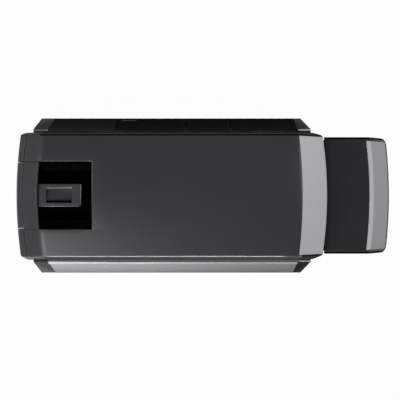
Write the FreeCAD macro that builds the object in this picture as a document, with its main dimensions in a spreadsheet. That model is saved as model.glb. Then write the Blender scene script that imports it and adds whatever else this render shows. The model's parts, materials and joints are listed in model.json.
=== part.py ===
import FreeCAD, Part
import math
import os
import re

import Sketcher
from FreeCAD import Vector

# Desktop printer for plastic cards. Frame: X along the card path (input hopper at -X, output hopper
# at +X), Y across it (silver side panel at -Y, connectors at +Y), Z up, origin under the middle.

SIZES = {
    # feet, bottom plate and base housing
    "foot_height": 8,
    "foot_radius": 8,
    "foot_inset_x": 24,
    "foot_inset_y": 22,
    "floor_thick": 2,
    "floor_gap": 0.3,
    "end_overhang": 12,
    "right_lean": 6,
    "right_overhang": 16,
    "side_flare": 17.6,
    "ledge_width": 4.9,
    "base_height": 110,
    "base_wall": 5,
    "deck_thick": 3,
    "deck_gap_left": 2,
    "deck_gap_right": 3,
    "deck_ledge": 11.5,
    # side panels and light trims on the ledge
    "panel_thick": 2,
    "panel_end_left": 17,
    "panel_end_right": 15,
    "panel_margin": 4,
    "trim_width": 1.9,
    "trim_height": 1,
    "trim_end": 0.5,
    # top cover
    "rim_gap": 0.5,
    "cover_height": 106,
    "end_run": 27,
    "cover_crease": 190,
    "end_drop": 24,
    "flat_right": 107.4,
    "band_run": 31.6,
    "band_drop": 59,
    "chin_in": 7,
    "chin_drop": 8,
    "chin_tuck": 10,
    "cover_half_rim": 73.5,
    "side_draft": 2.2,
    "shoulder_drop": 19,
    "shoulder_radius": 8,
    "crown_side": 5,
    "crown_drop": 12,
    "corner_side": 6,
    "corner_run": 7,
    "corner_radius": 8,
    "left_bow": 4,
    "right_bow": 5,
    "cover_wall": 3,
    "bezel_thick": 1.5,
    "band_side": 6,
    "band_bow": 3.3,
    # card path and input hopper
    "card_rise": 8,
    "card_length": 85.6,
    "card_width": 54,
    "card_play": 1,
    "bin_tuck": 6,
    "pit_side": 10.8,
    "door_gap": 0.5,
    "door_rise": 13,
    "strip_rise": 10.2,
    "door_axis_in": 3.8,
    "door_axis_up": 2,
    "door_pin_radius": 1.5,
    "door_knuckle_radius": 3.2,
    "door_knuckle_length": 8,
    "door_boss_length": 8,
    "door_boss_depth": 5,
    "bin_wall": 2.5,
    "bin_end_gap": 5,
    "bin_drop": 20,
    "bin_flange_thick": 4,
    "bin_floor_spare": 2.4,
    "bin_slot": 2,
    "bin_pad_height": 11,
    "weight_drop": 36,
    "weight_thick": 4,
    "weight_short": 5.6,
    "weight_gap": 0.5,
    "weight_end_gap": 2,
    "handle_over": 2,
    "handle_length": 50.4,
    "handle_half": 13,
    "handle_height": 10,
    "recess_length": 30,
    "recess_half": 8.2,
    "recess_depth": 7,
    "notch_gap": 0.8,
    # output hopper
    "mount_proud": 1,
    "mount_side": 5,
    "hopper_drop": 54,
    "hopper_side": 8.5,
    "hopper_wall": 2.5,
    "hopper_length": 89,
    "hopper_draft": 1.5,
    "hopper_step": 2,
    "hopper_screw_side": 20,
    "hopper_screw_low": 12,
    "hopper_screw_high": 40,
    "lid_tuck": 1.5,
    "lid_gap": 0.8,
    "lid_rise": 32,
    "lid_over_side": 3,
    "lid_band_run": 27.6,
    "lid_overhang": 4,
    "lid_drop": 46,
    "lid_skirt": 16,
    "lid_lip": 12,
    "lid_wall": 2.4,
    "lid_corner_side": 6.5,
    "lid_corner_run": 6,
    "lid_corner_radius": 7,
    "lid_bow": 3.6,
    "lid_band_side": 4.5,
    "lid_axis_in": 3.5,
    "lid_axis_down": 6.5,
    "lid_pin_radius": 1.5,
    "hinge_relief": 2,
    # cover hinge
    "hinge_left": 120,
    "hinge_right": 70,
    "hinge_in": 1.5,
    "hinge_rise": 6,
    "hinge_radius": 4,
    "hinge_pin_radius": 2,
    "knuckle_half": 11.5,
    "ear_width": 8,
    "hinge_gap": 0.5,
    "hinge_web": 7,
    # chassis and rollers
    "chassis_end_left": 18,
    "chassis_end_right": 14,
    "chassis_side": 6,
    "chassis_thick": 2,
    "chassis_rise": 22,
    "chassis_flange": 12,
    "ear_x": 52,
    "ear_half": 14,
    "ear_rise": 54,
    "spool_rise": 42,
    "pick_in": 20,
    "infeed_in": 29,
    "outfeed_in": 28,
    "roller_radius": 6,
    "roller_side": 2,
    "pick_half": 20,
    "shaft_radius": 3,
    "bush_radius": 5,
    "bush_proud": 0.5,
    "shaft_over": 1,
    "nip_gap": 0.4,
    "cleaner_in": 19,
    "cleaner_radius": 7,
    "pulley_radius": 9,
    "pulley_width": 6,
    "pulley_gap": 3,
    "pulley_flange": 1,
    "belt_thick": 1.2,
    "belt_gap": 0.3,
    "belt_margin": 0.6,
    "run_gap": 0.05,
    "press_gap": 0.02,
    "tie_radius": 4,
    "tie_in": 9,
    "tie_x_inner": 60,
    "tie_lift": 30,
    "tie_drop": 18,
    "track_thick": 2,
    "track_drop": 0.5,
    "track_in": 7,
    "track_margin": 1.5,
    # gear pair and motor
    "gear_module": 0.8,
    "gear_width": 6,
    "platen_teeth": 60,
    "pinion_teeth": 16,
    "mesh_gap": 0.12,
    "pressure_angle": 20,
    "motor_side": 35,
    "motor_length": 28,
    "motor_boss_radius": 11,
    "motor_boss_height": 2,
    "motor_shaft_radius": 2.5,
    # ribbon spools
    "spool_core": 9,
    "spool_flange": 20,
    "spool_flange_thick": 2,
    "spool_play": 2,
    "spool_hub": 4,
    # print head, carried by the cover
    "head_half_x": 12,
    "head_short": 1,
    "head_lift": 1,
    "head_thick": 7,
    "sink_height": 16,
    "sink_base": 4,
    "fin_count": 5,
    "fin_thick": 2.4,
    "bracket_half_x": 20,
    "bracket_thick": 2,
    "bracket_drop": 12,
    "boss_radius": 4,
    "screw_radius": 1.5,
    "screw_head_radius": 2.8,
    "screw_head_height": 1.8,
    "screw_length": 7,
    # electronics and rear connectors
    "board_left": 112,
    "board_right": 30,
    "board_gap": 5,
    "board_inset": 10,
    "board_thick": 1.6,
    "board_lift": 6,
    "standoff_radius": 3,
    "standoff_inset": 6,
    "chip_side": 14,
    "chip_height": 2,
    "can_radius": 5,
    "can_height": 14,
    "port_length": 20.4,
    "port_inset": 4.4,
    "port_gap": 0.4,
    "jack_x": 62,
    "jack_side": 11,
    "jack_bore": 3.3,
    "usb_x": 26,
    "usb_width": 12,
    "usb_height": 11,
    "net_x": 8,
    "net_width": 16,
    "net_height": 13.5,
    "port_depth": 12,
    "jack_pin": 1,
    "usb_shell": 1.8,
    "net_shell": 2,
    "tongue_thick": 2.4,
    "switch_x": 95,
    "switch_width": 21,
    "switch_height": 15,
    "switch_lift": 8,
    "switch_frame": 1.6,
    "rocker_radius": 7,
    "rocker_proud": 1.2,
    "rocker_pin": 1.2,
    "rocker_half": 4.6,
    "rocker_back": 3,
    # fan
    "fan_x": 74,
    "fan_gap": 1,
    "fan_height": 10,
    "fan_rim": 1.5,
    "fan_hub": 8,
    "fan_tip_gap": 0.7,
    "fan_strut": 2,
    "fan_pin": 1.5,
    "blade_tilt": 35,
    "blade_chord": 8,
    "slot_length": 22,
    "slot_pitch": 6.6,
    "slot_width": 4,
    "blade_thick": 1.5,
    "blade_count": 7,
    # latch, card sensor and working allowance
    "latch_half": 10,
    "latch_thick": 2.5,
    "latch_depth": 7,
    "latch_rise": 16,
    "latch_gap": 1.5,
    "sensor_x": 40,
    "sensor_side": 10,
    "sensor_height": 6,
    "overcut": 2,
}

# Places that follow from the sizes above, so that neighbours keep together
FOLLOWING = {
    # along the card path
    "cover_left": "cover_crease + end_run",
    "base_left": "cover_left - end_overhang",
    "panel_left": "base_left - panel_end_left",
    "cover_right": "flat_right + band_run",
    "cover_foot_right": "cover_right - chin_tuck",
    "base_right_top": "cover_right - right_overhang",
    "base_right_low": "base_right_top - right_lean",
    "panel_right": "base_right_top - panel_end_right",
    "bin_right": "cover_left - bin_end_gap - card_length - bin_floor_spare",
    "pit_right": "bin_right + bin_tuck",
    "weight_length": "card_length - weight_short",
    "handle_left": "cover_crease + handle_over",
    "pick_x": "pit_right + pick_in",
    "infeed_x": "bin_right - infeed_in",
    "cleaner_x": "infeed_x - cleaner_in",
    "outfeed_x": "base_right_top - outfeed_in",
    "track_left": "bin_right - track_in",
    "chassis_left": "pick_x + chassis_end_left",
    "chassis_right": "outfeed_x + chassis_end_right",
    "tie_x_outer": "outfeed_x + tie_in",
    "deck_hole_left": "chassis_left + deck_gap_left",
    "deck_hole_right": "chassis_right + deck_gap_right",
    "hopper_mount_face": "base_right_top + mount_proud",
    "hopper_end_low": "hopper_mount_face + hopper_length",
    "hopper_end_top": "hopper_end_low - hopper_draft",
    "lid_left": "cover_right - lid_tuck",
    "lid_right": "hopper_end_low + lid_overhang",
    "lid_flat_right": "lid_right - lid_band_run",
    # across it
    "cover_half_shoulder": "cover_half_rim - side_draft",
    "crown_half": "cover_half_rim - crown_side",
    "corner_half": "cover_half_rim - corner_side",
    "band_half": "cover_half_rim - band_side",
    "hinge_y": "cover_half_rim - hinge_in",
    "deck_hole_half": "cover_half_rim - deck_ledge",
    "base_half_top": "cover_half_rim + ledge_width",
    "base_half_low": "base_half_top + side_flare",
    "hopper_half": "cover_half_rim - hopper_side",
    "hopper_mount_half": "hopper_half - mount_side",
    "hopper_screw_half": "hopper_half - hopper_screw_side",
    "lid_half": "hopper_half + lid_over_side",
    "lid_corner_half": "lid_half - lid_corner_side",
    "lid_band_half": "lid_half - lid_band_side",
    "port_rear": "base_half_low - port_inset",
    "port_front": "port_rear - port_length",
    "board_rear": "base_half_low - board_inset",
    "board_front": "chassis_half + chassis_thick + board_gap",
    "pit_half": "card_width / 2 + pit_side",
    "chassis_half": "card_width / 2 + chassis_side",
    "roller_half": "card_width / 2 + roller_side",
    "spool_half": "chassis_half - spool_play",
    "head_half_y": "card_width / 2 - head_short",
    "fan_side": "2 * (chassis_half - chassis_flange - fan_gap)",
    "fan_bore": "fan_side / 2 - fan_rim",
    # heights
    "switch_low": "foot_height + floor_thick + switch_lift",
    "tie_low": "foot_height + floor_thick + tie_lift",
    "tie_high": "foot_height + base_height - tie_drop",
    "hopper_floor": "foot_height + base_height - hopper_drop",
    "lid_top": "foot_height + base_height + lid_rise",
    "door_low": "foot_height + base_height + door_rise",
    "door_strip": "foot_height + base_height + strip_rise",
    "chassis_top": "foot_height + base_height + chassis_rise",
    "spool_z": "foot_height + base_height + spool_rise",
    "ear_top": "foot_height + base_height + ear_rise",
    "bin_height": "cover_height - bin_drop",
    "weight_rise": "cover_height - weight_drop",
}

doc = FreeCAD.newDocument("CardPrinter")
sheet = doc.addObject("Spreadsheet::Sheet", "Sizes")
for row, (alias, size) in enumerate(SIZES.items(), start=1):
    sheet.set(f"A{row}", alias)
    sheet.set(f"B{row}", str(size))
    sheet.setAlias(f"B{row}", alias)
doc.recompute()

nodes = {}


def tied(text):
    """An expression of sizes, with following places written out, tied to the sheet."""
    def name_it(found):
        word = found.group()
        if word in FOLLOWING:
            return f"({tied(FOLLOWING[word])})"
        return f"Sizes.{word}" if word in SIZES else word
    return re.sub(r"[a-z_]\w*", name_it, str(text))


def worth(text):
    """The number that an expression of sizes comes to."""
    return float(sheet.evalExpression(tied(text)))


def neg(text):
    return f"-({text})"


def node(label, item):
    """Name a finished sub-part and keep it for writing."""
    item.Label = label
    nodes[label] = item
    return item


def place(item, at, axis=None, angle=0):
    """Tie a sub-part's place to the sheet, after turning it about an axis."""
    if axis:
        item.Placement = FreeCAD.Placement(Vector(), FreeCAD.Rotation(Vector(*axis), angle))
    for letter, text in zip("xyz", at):
        item.setExpression(f".Placement.Base.{letter}", tied(text))


def box(name, low, high):
    """A block between two corners."""
    block = doc.addObject("Part::Box", name)
    for side, start, end in zip(("Length", "Width", "Height"), low, high):
        block.setExpression(side, tied(f"({end}) - ({start})"))
    place(block, low)
    return block


TURNS = {"x": ((0, 1, 0), 90), "y": ((1, 0, 0), -90), "z": (None, 0)}


def rod(name, radius, start, length, along="y"):
    """A round bar from its start point along one axis."""
    bar = doc.addObject("Part::Cylinder", name)
    bar.setExpression("Radius", tied(radius))
    bar.setExpression("Height", tied(length))
    place(bar, start, *TURNS[along])
    return bar


def fuse(name, *pieces):
    joined = doc.addObject("Part::MultiFuse", name)
    joined.Shapes = list(pieces)
    joined.Refine = True
    return joined


def common(name, *pieces):
    shared = doc.addObject("Part::MultiCommon", name)
    shared.Shapes = list(pieces)
    return shared


def cut(name, base, *tools):
    """A piece with one or more tools taken away."""
    rest = doc.addObject("Part::Cut", name)
    rest.Base = base
    rest.Tool = tools[0] if len(tools) == 1 else fuse(f"{name}_tools", *tools)
    return rest


def group(name, *pieces):
    """Several separate solids kept as one sub-part."""
    together = doc.addObject("Part::Compound", name)
    together.Links = list(pieces)
    return together


def ring(name, outer, inner, start, length, along="y"):
    return cut(name, rod(f"{name}_out", outer, start, length, along),
               rod(f"{name}_bore", inner, start, length, along))


def arc_between(start, end, radius):
    """The shorter arc that turns left from start to end."""
    run = end - start
    side = Vector(-run.y, run.x, 0).normalize()
    centre = (start + end) * 0.5 + side * math.sqrt(max(radius ** 2 - run.Length ** 2 / 4, 0))
    angles = [math.atan2(point.y - centre.y, point.x - centre.x) for point in (start, end)]
    return Part.ArcOfCircle(Part.Circle(centre, Vector(0, 0, 1), radius), *angles)


def prism(name, plane, corners, start, end):
    """A body padded from a sketched outline, between two places on the sketch plane's axis.

    A corner is (across, up), or (across, up, radius) where an outward arc leaves it, or
    (across, up, radius, True) where that arc bends inward. Corners run anticlockwise.
    """
    body = doc.addObject("PartDesign::Body", name)
    sketch = body.newObject("Sketcher::SketchObject", f"{name}_sketch")
    origin_plane = [item for item in body.Origin.OriginFeatures if item.Role == f"{plane}_Plane"][0]
    sketch.AttachmentSupport = (origin_plane, [""])
    sketch.MapMode = "FlatFace"
    points = [Vector(worth(corner[0]), worth(corner[1]), 0) for corner in corners]
    count = len(corners)
    ends = []
    for index, corner in enumerate(corners):
        here, there = points[index], points[(index + 1) % count]
        inward = len(corner) == 4
        if len(corner) == 2:
            sketch.addGeometry(Part.LineSegment(here, there))
        elif inward:
            sketch.addGeometry(arc_between(there, here, worth(corner[2])))
        else:
            sketch.addGeometry(arc_between(here, there, worth(corner[2])))
        ends.append((2, 1) if inward else (1, 2))
    for index in range(count):
        after = (index + 1) % count
        sketch.addConstraint(
            Sketcher.Constraint("Coincident", index, ends[index][1], after, ends[after][0])
        )
    for index, corner in enumerate(corners):
        for kind, text, value in (("DistanceX", corner[0], points[index].x),
                                  ("DistanceY", corner[1], points[index].y)):
            row = sketch.addConstraint(Sketcher.Constraint(kind, index, ends[index][0], value))
            sketch.setExpression(f"Constraints[{row}]", tied(text))
        if len(corner) > 2:
            row = sketch.addConstraint(Sketcher.Constraint("Radius", index, worth(corner[2])))
            sketch.setExpression(f"Constraints[{row}]", tied(corner[2]))
    offset = neg(end) if plane == "XZ" else start
    sketch.setExpression(".AttachmentOffset.Base.z", tied(offset))
    pad = body.newObject("PartDesign::Pad", f"{name}_pad")
    pad.Profile = sketch
    pad.setExpression("Length", tied(f"({end}) - ({start})"))
    return body


# Heights that many pieces share
FLOOR_TOP = "(foot_height + floor_thick)"
LEDGE = "(foot_height + base_height)"
RIM = "(foot_height + base_height + rim_gap)"
TOP = "(foot_height + base_height + cover_height)"
CARD = "(foot_height + base_height + card_rise)"


def bow_radius(half, rise):
    """The radius of an arc over a chord of twice half that stands rise above it."""
    return f"((({half})^2 + ({rise})^2) / (2 * ({rise})))"


# Base housing with its two side panels

def base_solid(name, inset_y, inset_x, low, top):
    """The base's tapered block, drawn in from its sides and ends."""
    slope = "((base_half_low - base_half_top) / base_height)"
    lean = "((base_right_top - base_right_low) / base_height)"
    half_low = f"base_half_low - {slope} * ({low} - foot_height) - {inset_y}"
    half_top = f"base_half_low - {slope} * ({top} - foot_height) - {inset_y}"
    right_low = f"base_right_low + {lean} * ({low} - foot_height) - {inset_x}"
    right_top = f"base_right_low + {lean} * ({top} - foot_height) - {inset_x}"
    left = f"-(base_left - {inset_x})"
    section = prism(f"{name}_section", "YZ",
                    [(neg(half_low), low), (half_low, low), (half_top, top), (neg(half_top), top)],
                    "-base_left - overcut", "base_right_top + overcut")
    side = prism(f"{name}_side", "XZ",
                 [(left, low), (right_low, low), (right_top, top), (left, top)],
                 "-base_half_low - overcut", "base_half_low + overcut")
    return common(name, section, side)


base_outer = base_solid("base_outer", "0", "0", "foot_height", LEDGE)
base_inner = base_solid("base_inner", "base_wall", "base_wall", "(foot_height - overcut)",
                        f"({LEDGE} - deck_thick)")
base_core = base_solid("base_core", "panel_thick", "0", "foot_height", LEDGE)
base_skin = cut("base_skin", base_outer, base_core)


def panel_zone(name, low_y, high_y):
    return box(name, ("-panel_left", low_y, "foot_height + panel_margin"),
               ("panel_right", high_y, f"{LEDGE} + overcut"))


front_panel = common("front_panel", base_skin, panel_zone("front_zone", "-base_half_low - overcut", "0"))
rear_panel = common("rear_panel", base_skin, panel_zone("rear_zone", "0", "base_half_low + overcut"))

BOARD_TOP = f"({FLOOR_TOP} + board_lift + board_thick)"
# Rear connectors: centre across, width, low edge, high edge
PORTS = {
    "jack": (neg("jack_x"), "jack_side", BOARD_TOP, f"{BOARD_TOP} + jack_side"),
    "usb": (neg("usb_x"), "usb_width", BOARD_TOP, f"{BOARD_TOP} + usb_height"),
    "net": ("net_x", "net_width", BOARD_TOP, f"{BOARD_TOP} + net_height"),
    "switch": (neg("switch_x"), "switch_width", "switch_low", "switch_low + switch_height"),
}


def port_block(name, port, front, rear, spare="0"):
    across, width, low, high = PORTS[port]
    return box(name, (f"{across} - {width} / 2 - {spare}", front, f"{low} - {spare}"),
               (f"{across} + {width} / 2 + {spare}", rear, f"{high} + {spare}"))


def port_holes(name):
    return [port_block(f"{name}_{port}", port, "board_front", "base_half_low + overcut", "port_gap")
            for port in PORTS]


HINGES = {"left": neg("hinge_left"), "right": "hinge_right"}
HINGE_Z = f"({LEDGE} + hinge_rise)"


def hinge_ears():
    """Two ears and a post under each, for both hinges, standing on the rear ledge."""
    ears = []
    for side, middle in HINGES.items():
        for end, start in (("a", f"{middle} - knuckle_half - hinge_gap - ear_width"),
                           ("b", f"{middle} + knuckle_half + hinge_gap")):
            ears.append(
                rod(f"ear_{side}_{end}", "hinge_radius", (start, "hinge_y", HINGE_Z), "ear_width", "x")
            )
            ears.append(box(f"ear_post_{side}_{end}",
                            (start, "hinge_y - hinge_radius", f"{LEDGE} - deck_thick"),
                            (f"{start} + ear_width", "hinge_y + hinge_radius", HINGE_Z)))
    return ears


def hinge_bores(name, gap):
    return [rod(f"{name}_{side}", f"hinge_pin_radius + {gap}",
                (f"{middle} - knuckle_half - hinge_gap - ear_width - overcut", "hinge_y", HINGE_Z),
                "2 * (knuckle_half + hinge_gap + ear_width + overcut)", "x")
            for side, middle in HINGES.items()]


SCREW_POSTS = [(side_x, side_y) for side_x in ("-base_left + foot_inset_x + 2 * foot_radius",
                                               "base_right_low - foot_inset_x - 2 * foot_radius")
               for side_y in ("-base_half_low + foot_inset_y", "base_half_low - foot_inset_y")]

deck_hole = box("deck_hole", ("-deck_hole_left", "-deck_hole_half", f"{LEDGE} - deck_thick - overcut"),
                ("deck_hole_right", "deck_hole_half", f"{LEDGE} + overcut"))
latch_slot = box("latch_slot", ("-latch_half - latch_gap", "-cover_half_rim + cover_wall - latch_gap",
                                f"{LEDGE} - deck_thick - overcut"),
                 ("latch_half + latch_gap", "-deck_hole_half + overcut", f"{LEDGE} + overcut"))
hopper_mount = box(
    "hopper_mount", ("base_right_low - base_wall - overcut", "-hopper_mount_half", "hopper_floor"),
    ("hopper_mount_face", "hopper_mount_half", f"{LEDGE} - hopper_step"),
)
screw_posts = [rod(f"screw_post_{index}", "boss_radius", (x, y, FLOOR_TOP),
                   "base_height - floor_thick - deck_thick / 2", "z")
               for index, (x, y) in enumerate(SCREW_POSTS)]
screw_post_bores = [rod(f"screw_post_bore_{index}", "screw_radius + run_gap", (x, y, FLOOR_TOP),
                        "2 * screw_length", "z")
                    for index, (x, y) in enumerate(SCREW_POSTS)]
HOPPER_SCREWS = [(y, z) for y in ("-hopper_screw_half", "hopper_screw_half")
                 for z in ("hopper_floor + hopper_screw_low", "hopper_floor + hopper_screw_high")]
MOUNT_INNER = "(hopper_mount_face + hopper_wall)"
hopper_bores = [rod(f"hopper_bore_{index}", "screw_radius + run_gap",
                    ("hopper_mount_face - screw_length", y, z), "screw_length + hopper_wall + overcut", "x")
                for index, (y, z) in enumerate(HOPPER_SCREWS)]
base_body = fuse(
    "base_body",
    cut("base_shell", base_outer, base_inner, front_panel, rear_panel, deck_hole, latch_slot),
    hopper_mount, *hinge_ears(), *[common(f"{post.Name}_in", post, base_core) for post in screw_posts],
)
node("base_housing", cut("base_housing_cut", base_body, *port_holes("base_port"),
                         *hinge_bores("ear_bore", "press_gap"), *screw_post_bores, *hopper_bores))
node("front_side_panel", front_panel)
node("rear_side_panel", cut("rear_panel_cut", rear_panel, *port_holes("panel_port")))
node("ledge_trims", group("ledge_trims_group", *[
    box(f"trim_{side}", ("panel_right", low, LEDGE),
        ("base_right_top - trim_end", f"{low} + trim_width", f"{LEDGE} + trim_height"))
    for side, low in (("front", "-base_half_top"), ("rear", "base_half_top - trim_width"))]))


# Bottom plate, feet and screws

fan_slots = [
    box(
        f"fan_slot_{index}",
        ("fan_x - slot_length / 2", f"{index} * slot_pitch - slot_width / 2", "foot_height - overcut"),
        ("fan_x + slot_length / 2", f"{index} * slot_pitch + slot_width / 2", f"{FLOOR_TOP} + overcut"),
    )
    for index in (-2, -1, 0, 1, 2)
]
floor_block = base_solid("floor_block", "(base_wall + floor_gap)", "(base_wall + floor_gap)",
                         "foot_height", FLOOR_TOP)
floor_bores = [rod(f"floor_bore_{index}", "screw_radius + run_gap", (x, y, "foot_height - overcut"),
                   "floor_thick + 2 * overcut", "z")
               for index, (x, y) in enumerate(SCREW_POSTS)]
STANDOFFS = [(x, y) for x in ("-board_left + standoff_inset", "board_right - standoff_inset")
             for y in ("board_front + standoff_inset", "board_rear - standoff_inset")]
standoffs = [rod(f"standoff_{index}", "standoff_radius", (x, y, f"{FLOOR_TOP} - floor_thick / 2"),
                 "board_lift + floor_thick / 2", "z") for index, (x, y) in enumerate(STANDOFFS)]
node(
    "bottom_plate",
    fuse(
        "plate_with_standoffs", cut("bottom_plate_cut", floor_block, *fan_slots, *floor_bores), *standoffs
    ),
)
FEET = [(x, y) for x in ("-base_left + foot_inset_x", "base_right_low - foot_inset_x")
        for y in ("-base_half_low + foot_inset_y", "base_half_low - foot_inset_y")]
node(
    "rubber_feet",
    group(
        "feet_group",
        *[
            rod(f"foot_{index}", "foot_radius", (x, y, "0"), "foot_height", "z")
            for index, (x, y) in enumerate(FEET)
        ],
    ),
)
node("bottom_screws", group("bottom_screws_group", *[
    fuse(f"bottom_screw_{index}",
         rod(f"bottom_shank_{index}", "screw_radius", (x, y, "foot_height - screw_head_height"),
             "screw_length + screw_head_height", "z"),
         rod(f"bottom_head_{index}", "screw_head_radius", (x, y, "foot_height - screw_head_height"),
             "screw_head_height", "z"))
    for index, (x, y) in enumerate(SCREW_POSTS)]))


# Top cover: one shell shape, drawn in for its wall and for the silver band

LEFT_LEAN = "atan(end_drop / (cover_left - cover_crease))"
BAND_LEAN = "atan(band_drop / (cover_right - flat_right))"


def cover_solid(name, inset):
    """The cover's outer form moved in by a thickness on every side, and past its open rim."""
    low = f"{RIM} - {inset}"
    top = f"{TOP} - {inset}"
    band_foot = f"{TOP} - band_drop"
    side = prism(f"{name}_side", "XZ", [
        (f"-(cover_left - {inset})", low),
        (f"cover_foot_right - {inset}", low),
        (f"cover_right - chin_in - {inset}", f"{band_foot} - chin_drop"),
        (f"cover_right - {inset}", band_foot),
        (f"flat_right - {inset} * tan({BAND_LEAN} / 2)", top),
        (f"-cover_crease + {inset} * tan({LEFT_LEAN} / 2)", top),
        (f"-(cover_left - {inset})", f"{TOP} - end_drop - {inset} * tan((90 deg - {LEFT_LEAN}) / 2)"),
    ], "-base_half_low", "base_half_low")
    half = f"(cover_half_rim - {inset})"
    corner = f"(corner_half - {inset})"
    left = f"(cover_left - left_bow - {inset})"
    right = f"(cover_right - right_bow - {inset})"
    plan = prism(f"{name}_plan", "XY", [
        (f"-{left} + corner_run", neg(half)),
        (f"{right} - corner_run", neg(half), "corner_radius"),
        (right, neg(corner), bow_radius(corner, "right_bow")),
        (right, corner, "corner_radius"),
        (f"{right} - corner_run", half),
        (f"-{left} + corner_run", half, "corner_radius"),
        (neg(left), corner, bow_radius(corner, "left_bow")),
        (neg(left), neg(corner), "corner_radius"),
    ], f"{RIM} - 2 * {inset} - overcut", f"{TOP} + overcut")
    shoulder = f"(cover_half_shoulder - {inset})"
    crown = f"(crown_half - {inset} / 2)"
    section = prism(f"{name}_section", "YZ", [
        (neg(half), low),
        (half, low),
        (shoulder, f"{TOP} - shoulder_drop", "shoulder_radius"),
        (crown, f"{top} - crown_drop", bow_radius(crown, "crown_drop")),
        (neg(crown), f"{top} - crown_drop", "shoulder_radius"),
        (neg(shoulder), f"{TOP} - shoulder_drop"),
    ], "-cover_left - overcut", "cover_right + overcut")
    return common(name, side, plan, section)


cover_outer = cover_solid("cover_outer", "0")
cover_inner = cover_solid("cover_inner", "cover_wall")
cover_under_band = cover_solid("cover_under_band", "bezel_thick")
cover_shell = cut("cover_shell", cover_outer, cover_inner)

band_zone = prism("band_zone", "XY", [
    ("flat_right - band_bow", "-band_half"),
    ("cover_right + overcut", "-band_half"),
    ("cover_right + overcut", "band_half"),
    ("flat_right - band_bow", "band_half", bow_radius("band_half", "band_bow"), True),
], f"{TOP} - band_drop", f"{TOP} + overcut")
cover_band = common("cover_band", cut("cover_skin", cover_outer, cover_under_band), band_zone)
node("cover_end_bezel", cover_band)

# Input door: the middle of the cover's left end, hinged at its foot
DOOR_X = "(-cover_left + door_axis_in)"
DOOR_Z = "(door_low + door_axis_up)"
door_zone = box("door_zone", ("-cover_left - overcut", "-pit_half", "door_low"),
                ("-cover_crease", "pit_half", f"{TOP} + overcut"))
handle_notch = box("handle_notch", ("-handle_left - notch_gap", "-handle_half - notch_gap", DOOR_Z),
                   ("-cover_crease + overcut", "handle_half + notch_gap", f"{TOP} + overcut"))
door_panel = cut("door_panel", common("door_skin", cover_shell, door_zone), handle_notch)
door_knuckles = [
    rod(f"door_knuckle_{side}", "door_knuckle_radius", (DOOR_X, start, DOOR_Z), "door_knuckle_length")
    for side, start in (("front", "-pit_half"), ("rear", "pit_half - door_knuckle_length"))
]


def door_bores(name, gap):
    return [rod(f"{name}_{side}", f"door_pin_radius + {gap}", (DOOR_X, start, DOOR_Z),
                "door_knuckle_length + door_gap + door_boss_length")
            for side, start in (("front", "-pit_half - door_gap - door_boss_length"),
                                ("rear", "pit_half - door_knuckle_length"))]


node("input_door", cut("input_door_cut", fuse("input_door_body", door_panel, *door_knuckles),
                       *door_bores("door_bore", "run_gap")))
node("door_hinge_pins", group("door_pins_group", *door_bores("door_pin", "0")))

input_window = box("input_window", ("-cover_left - overcut", "-pit_half - door_gap", "door_strip"),
                   ("-pit_right", "pit_half + door_gap", f"{TOP} + overcut"))
exit_notch = box("exit_notch", ("flat_right", "-card_width / 2 - 2 * card_play", f"{RIM} - overcut"),
                 ("cover_right + overcut", "card_width / 2 + 2 * card_play", f"{CARD} + card_rise"))
hinge_notches = [box(f"hinge_notch_{side}",
                     (f"{middle} - knuckle_half - ear_width - 2 * hinge_gap", "hinge_y - 2 * hinge_radius",
                      f"{RIM} - overcut"),
                     (f"{middle} + knuckle_half + ear_width + 2 * hinge_gap", "hinge_y + 2 * hinge_radius",
                      f"{HINGE_Z} + hinge_radius + hinge_gap"))
                 for side, middle in HINGES.items()]
door_bosses = [box(f"door_boss_{side}",
                   ("-cover_left + cover_wall / 2", low, f"{DOOR_Z} - door_boss_depth"),
                   (f"{DOOR_X} + door_boss_depth", high, f"{DOOR_Z} + door_boss_depth"))
               for side, low, high in (
                   ("front", "-pit_half - door_gap - door_boss_length", "-pit_half - door_gap"),
                   ("rear", "pit_half + door_gap", "pit_half + door_gap + door_boss_length"))]
knuckles = []
for side, middle in HINGES.items():
    knuckles.append(rod(f"knuckle_{side}", "hinge_radius", (f"{middle} - knuckle_half", "hinge_y", HINGE_Z),
                        "2 * knuckle_half", "x"))
    knuckles.append(box(f"knuckle_web_{side}",
                        (f"{middle} - knuckle_half", "cover_half_shoulder - cover_wall", HINGE_Z),
                        (f"{middle} + knuckle_half", "hinge_y", f"{HINGE_Z} + hinge_web")))

BRACKET_TOP = f"({TOP} - bracket_drop)"
BRACKET_SCREWS = [
    (x, y)
    for x in ("-bracket_half_x + 1.5 * boss_radius", "bracket_half_x - 1.5 * boss_radius")
    for y in ("-head_half_y + 1.5 * boss_radius", "head_half_y - 1.5 * boss_radius")
]
bracket_bosses = [rod(f"bracket_boss_{index}", "boss_radius", (x, y, BRACKET_TOP),
                      "bracket_drop - cover_wall / 2", "z")
                  for index, (x, y) in enumerate(BRACKET_SCREWS)]
boss_bores = [rod(f"boss_bore_{index}", "screw_radius + run_gap", (x, y, f"{BRACKET_TOP} - overcut"),
                  "screw_length + overcut", "z")
              for index, (x, y) in enumerate(BRACKET_SCREWS)]
cover_frame = cut("cover_frame", cover_shell, cover_band, input_window, exit_notch, *hinge_notches)
cover_body = fuse("cover_body", cover_frame, *knuckles, *door_bosses,
                  *[common(f"{boss.Name}_in", boss, cover_outer) for boss in bracket_bosses])
node("top_cover", cut("top_cover_cut", cover_body, *hinge_bores("knuckle_bore", "run_gap"),
                      *door_bores("boss_pin_bore", "press_gap"), *boss_bores))
node("cover_hinge_pins", group("hinge_pins_group", *[
    rod(f"hinge_pin_{side}", "hinge_pin_radius", (f"{middle} - knuckle_half - hinge_gap - ear_width",
                                                  "hinge_y", HINGE_Z),
        "2 * (knuckle_half + hinge_gap + ear_width)", "x")
    for side, middle in HINGES.items()]))
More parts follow.
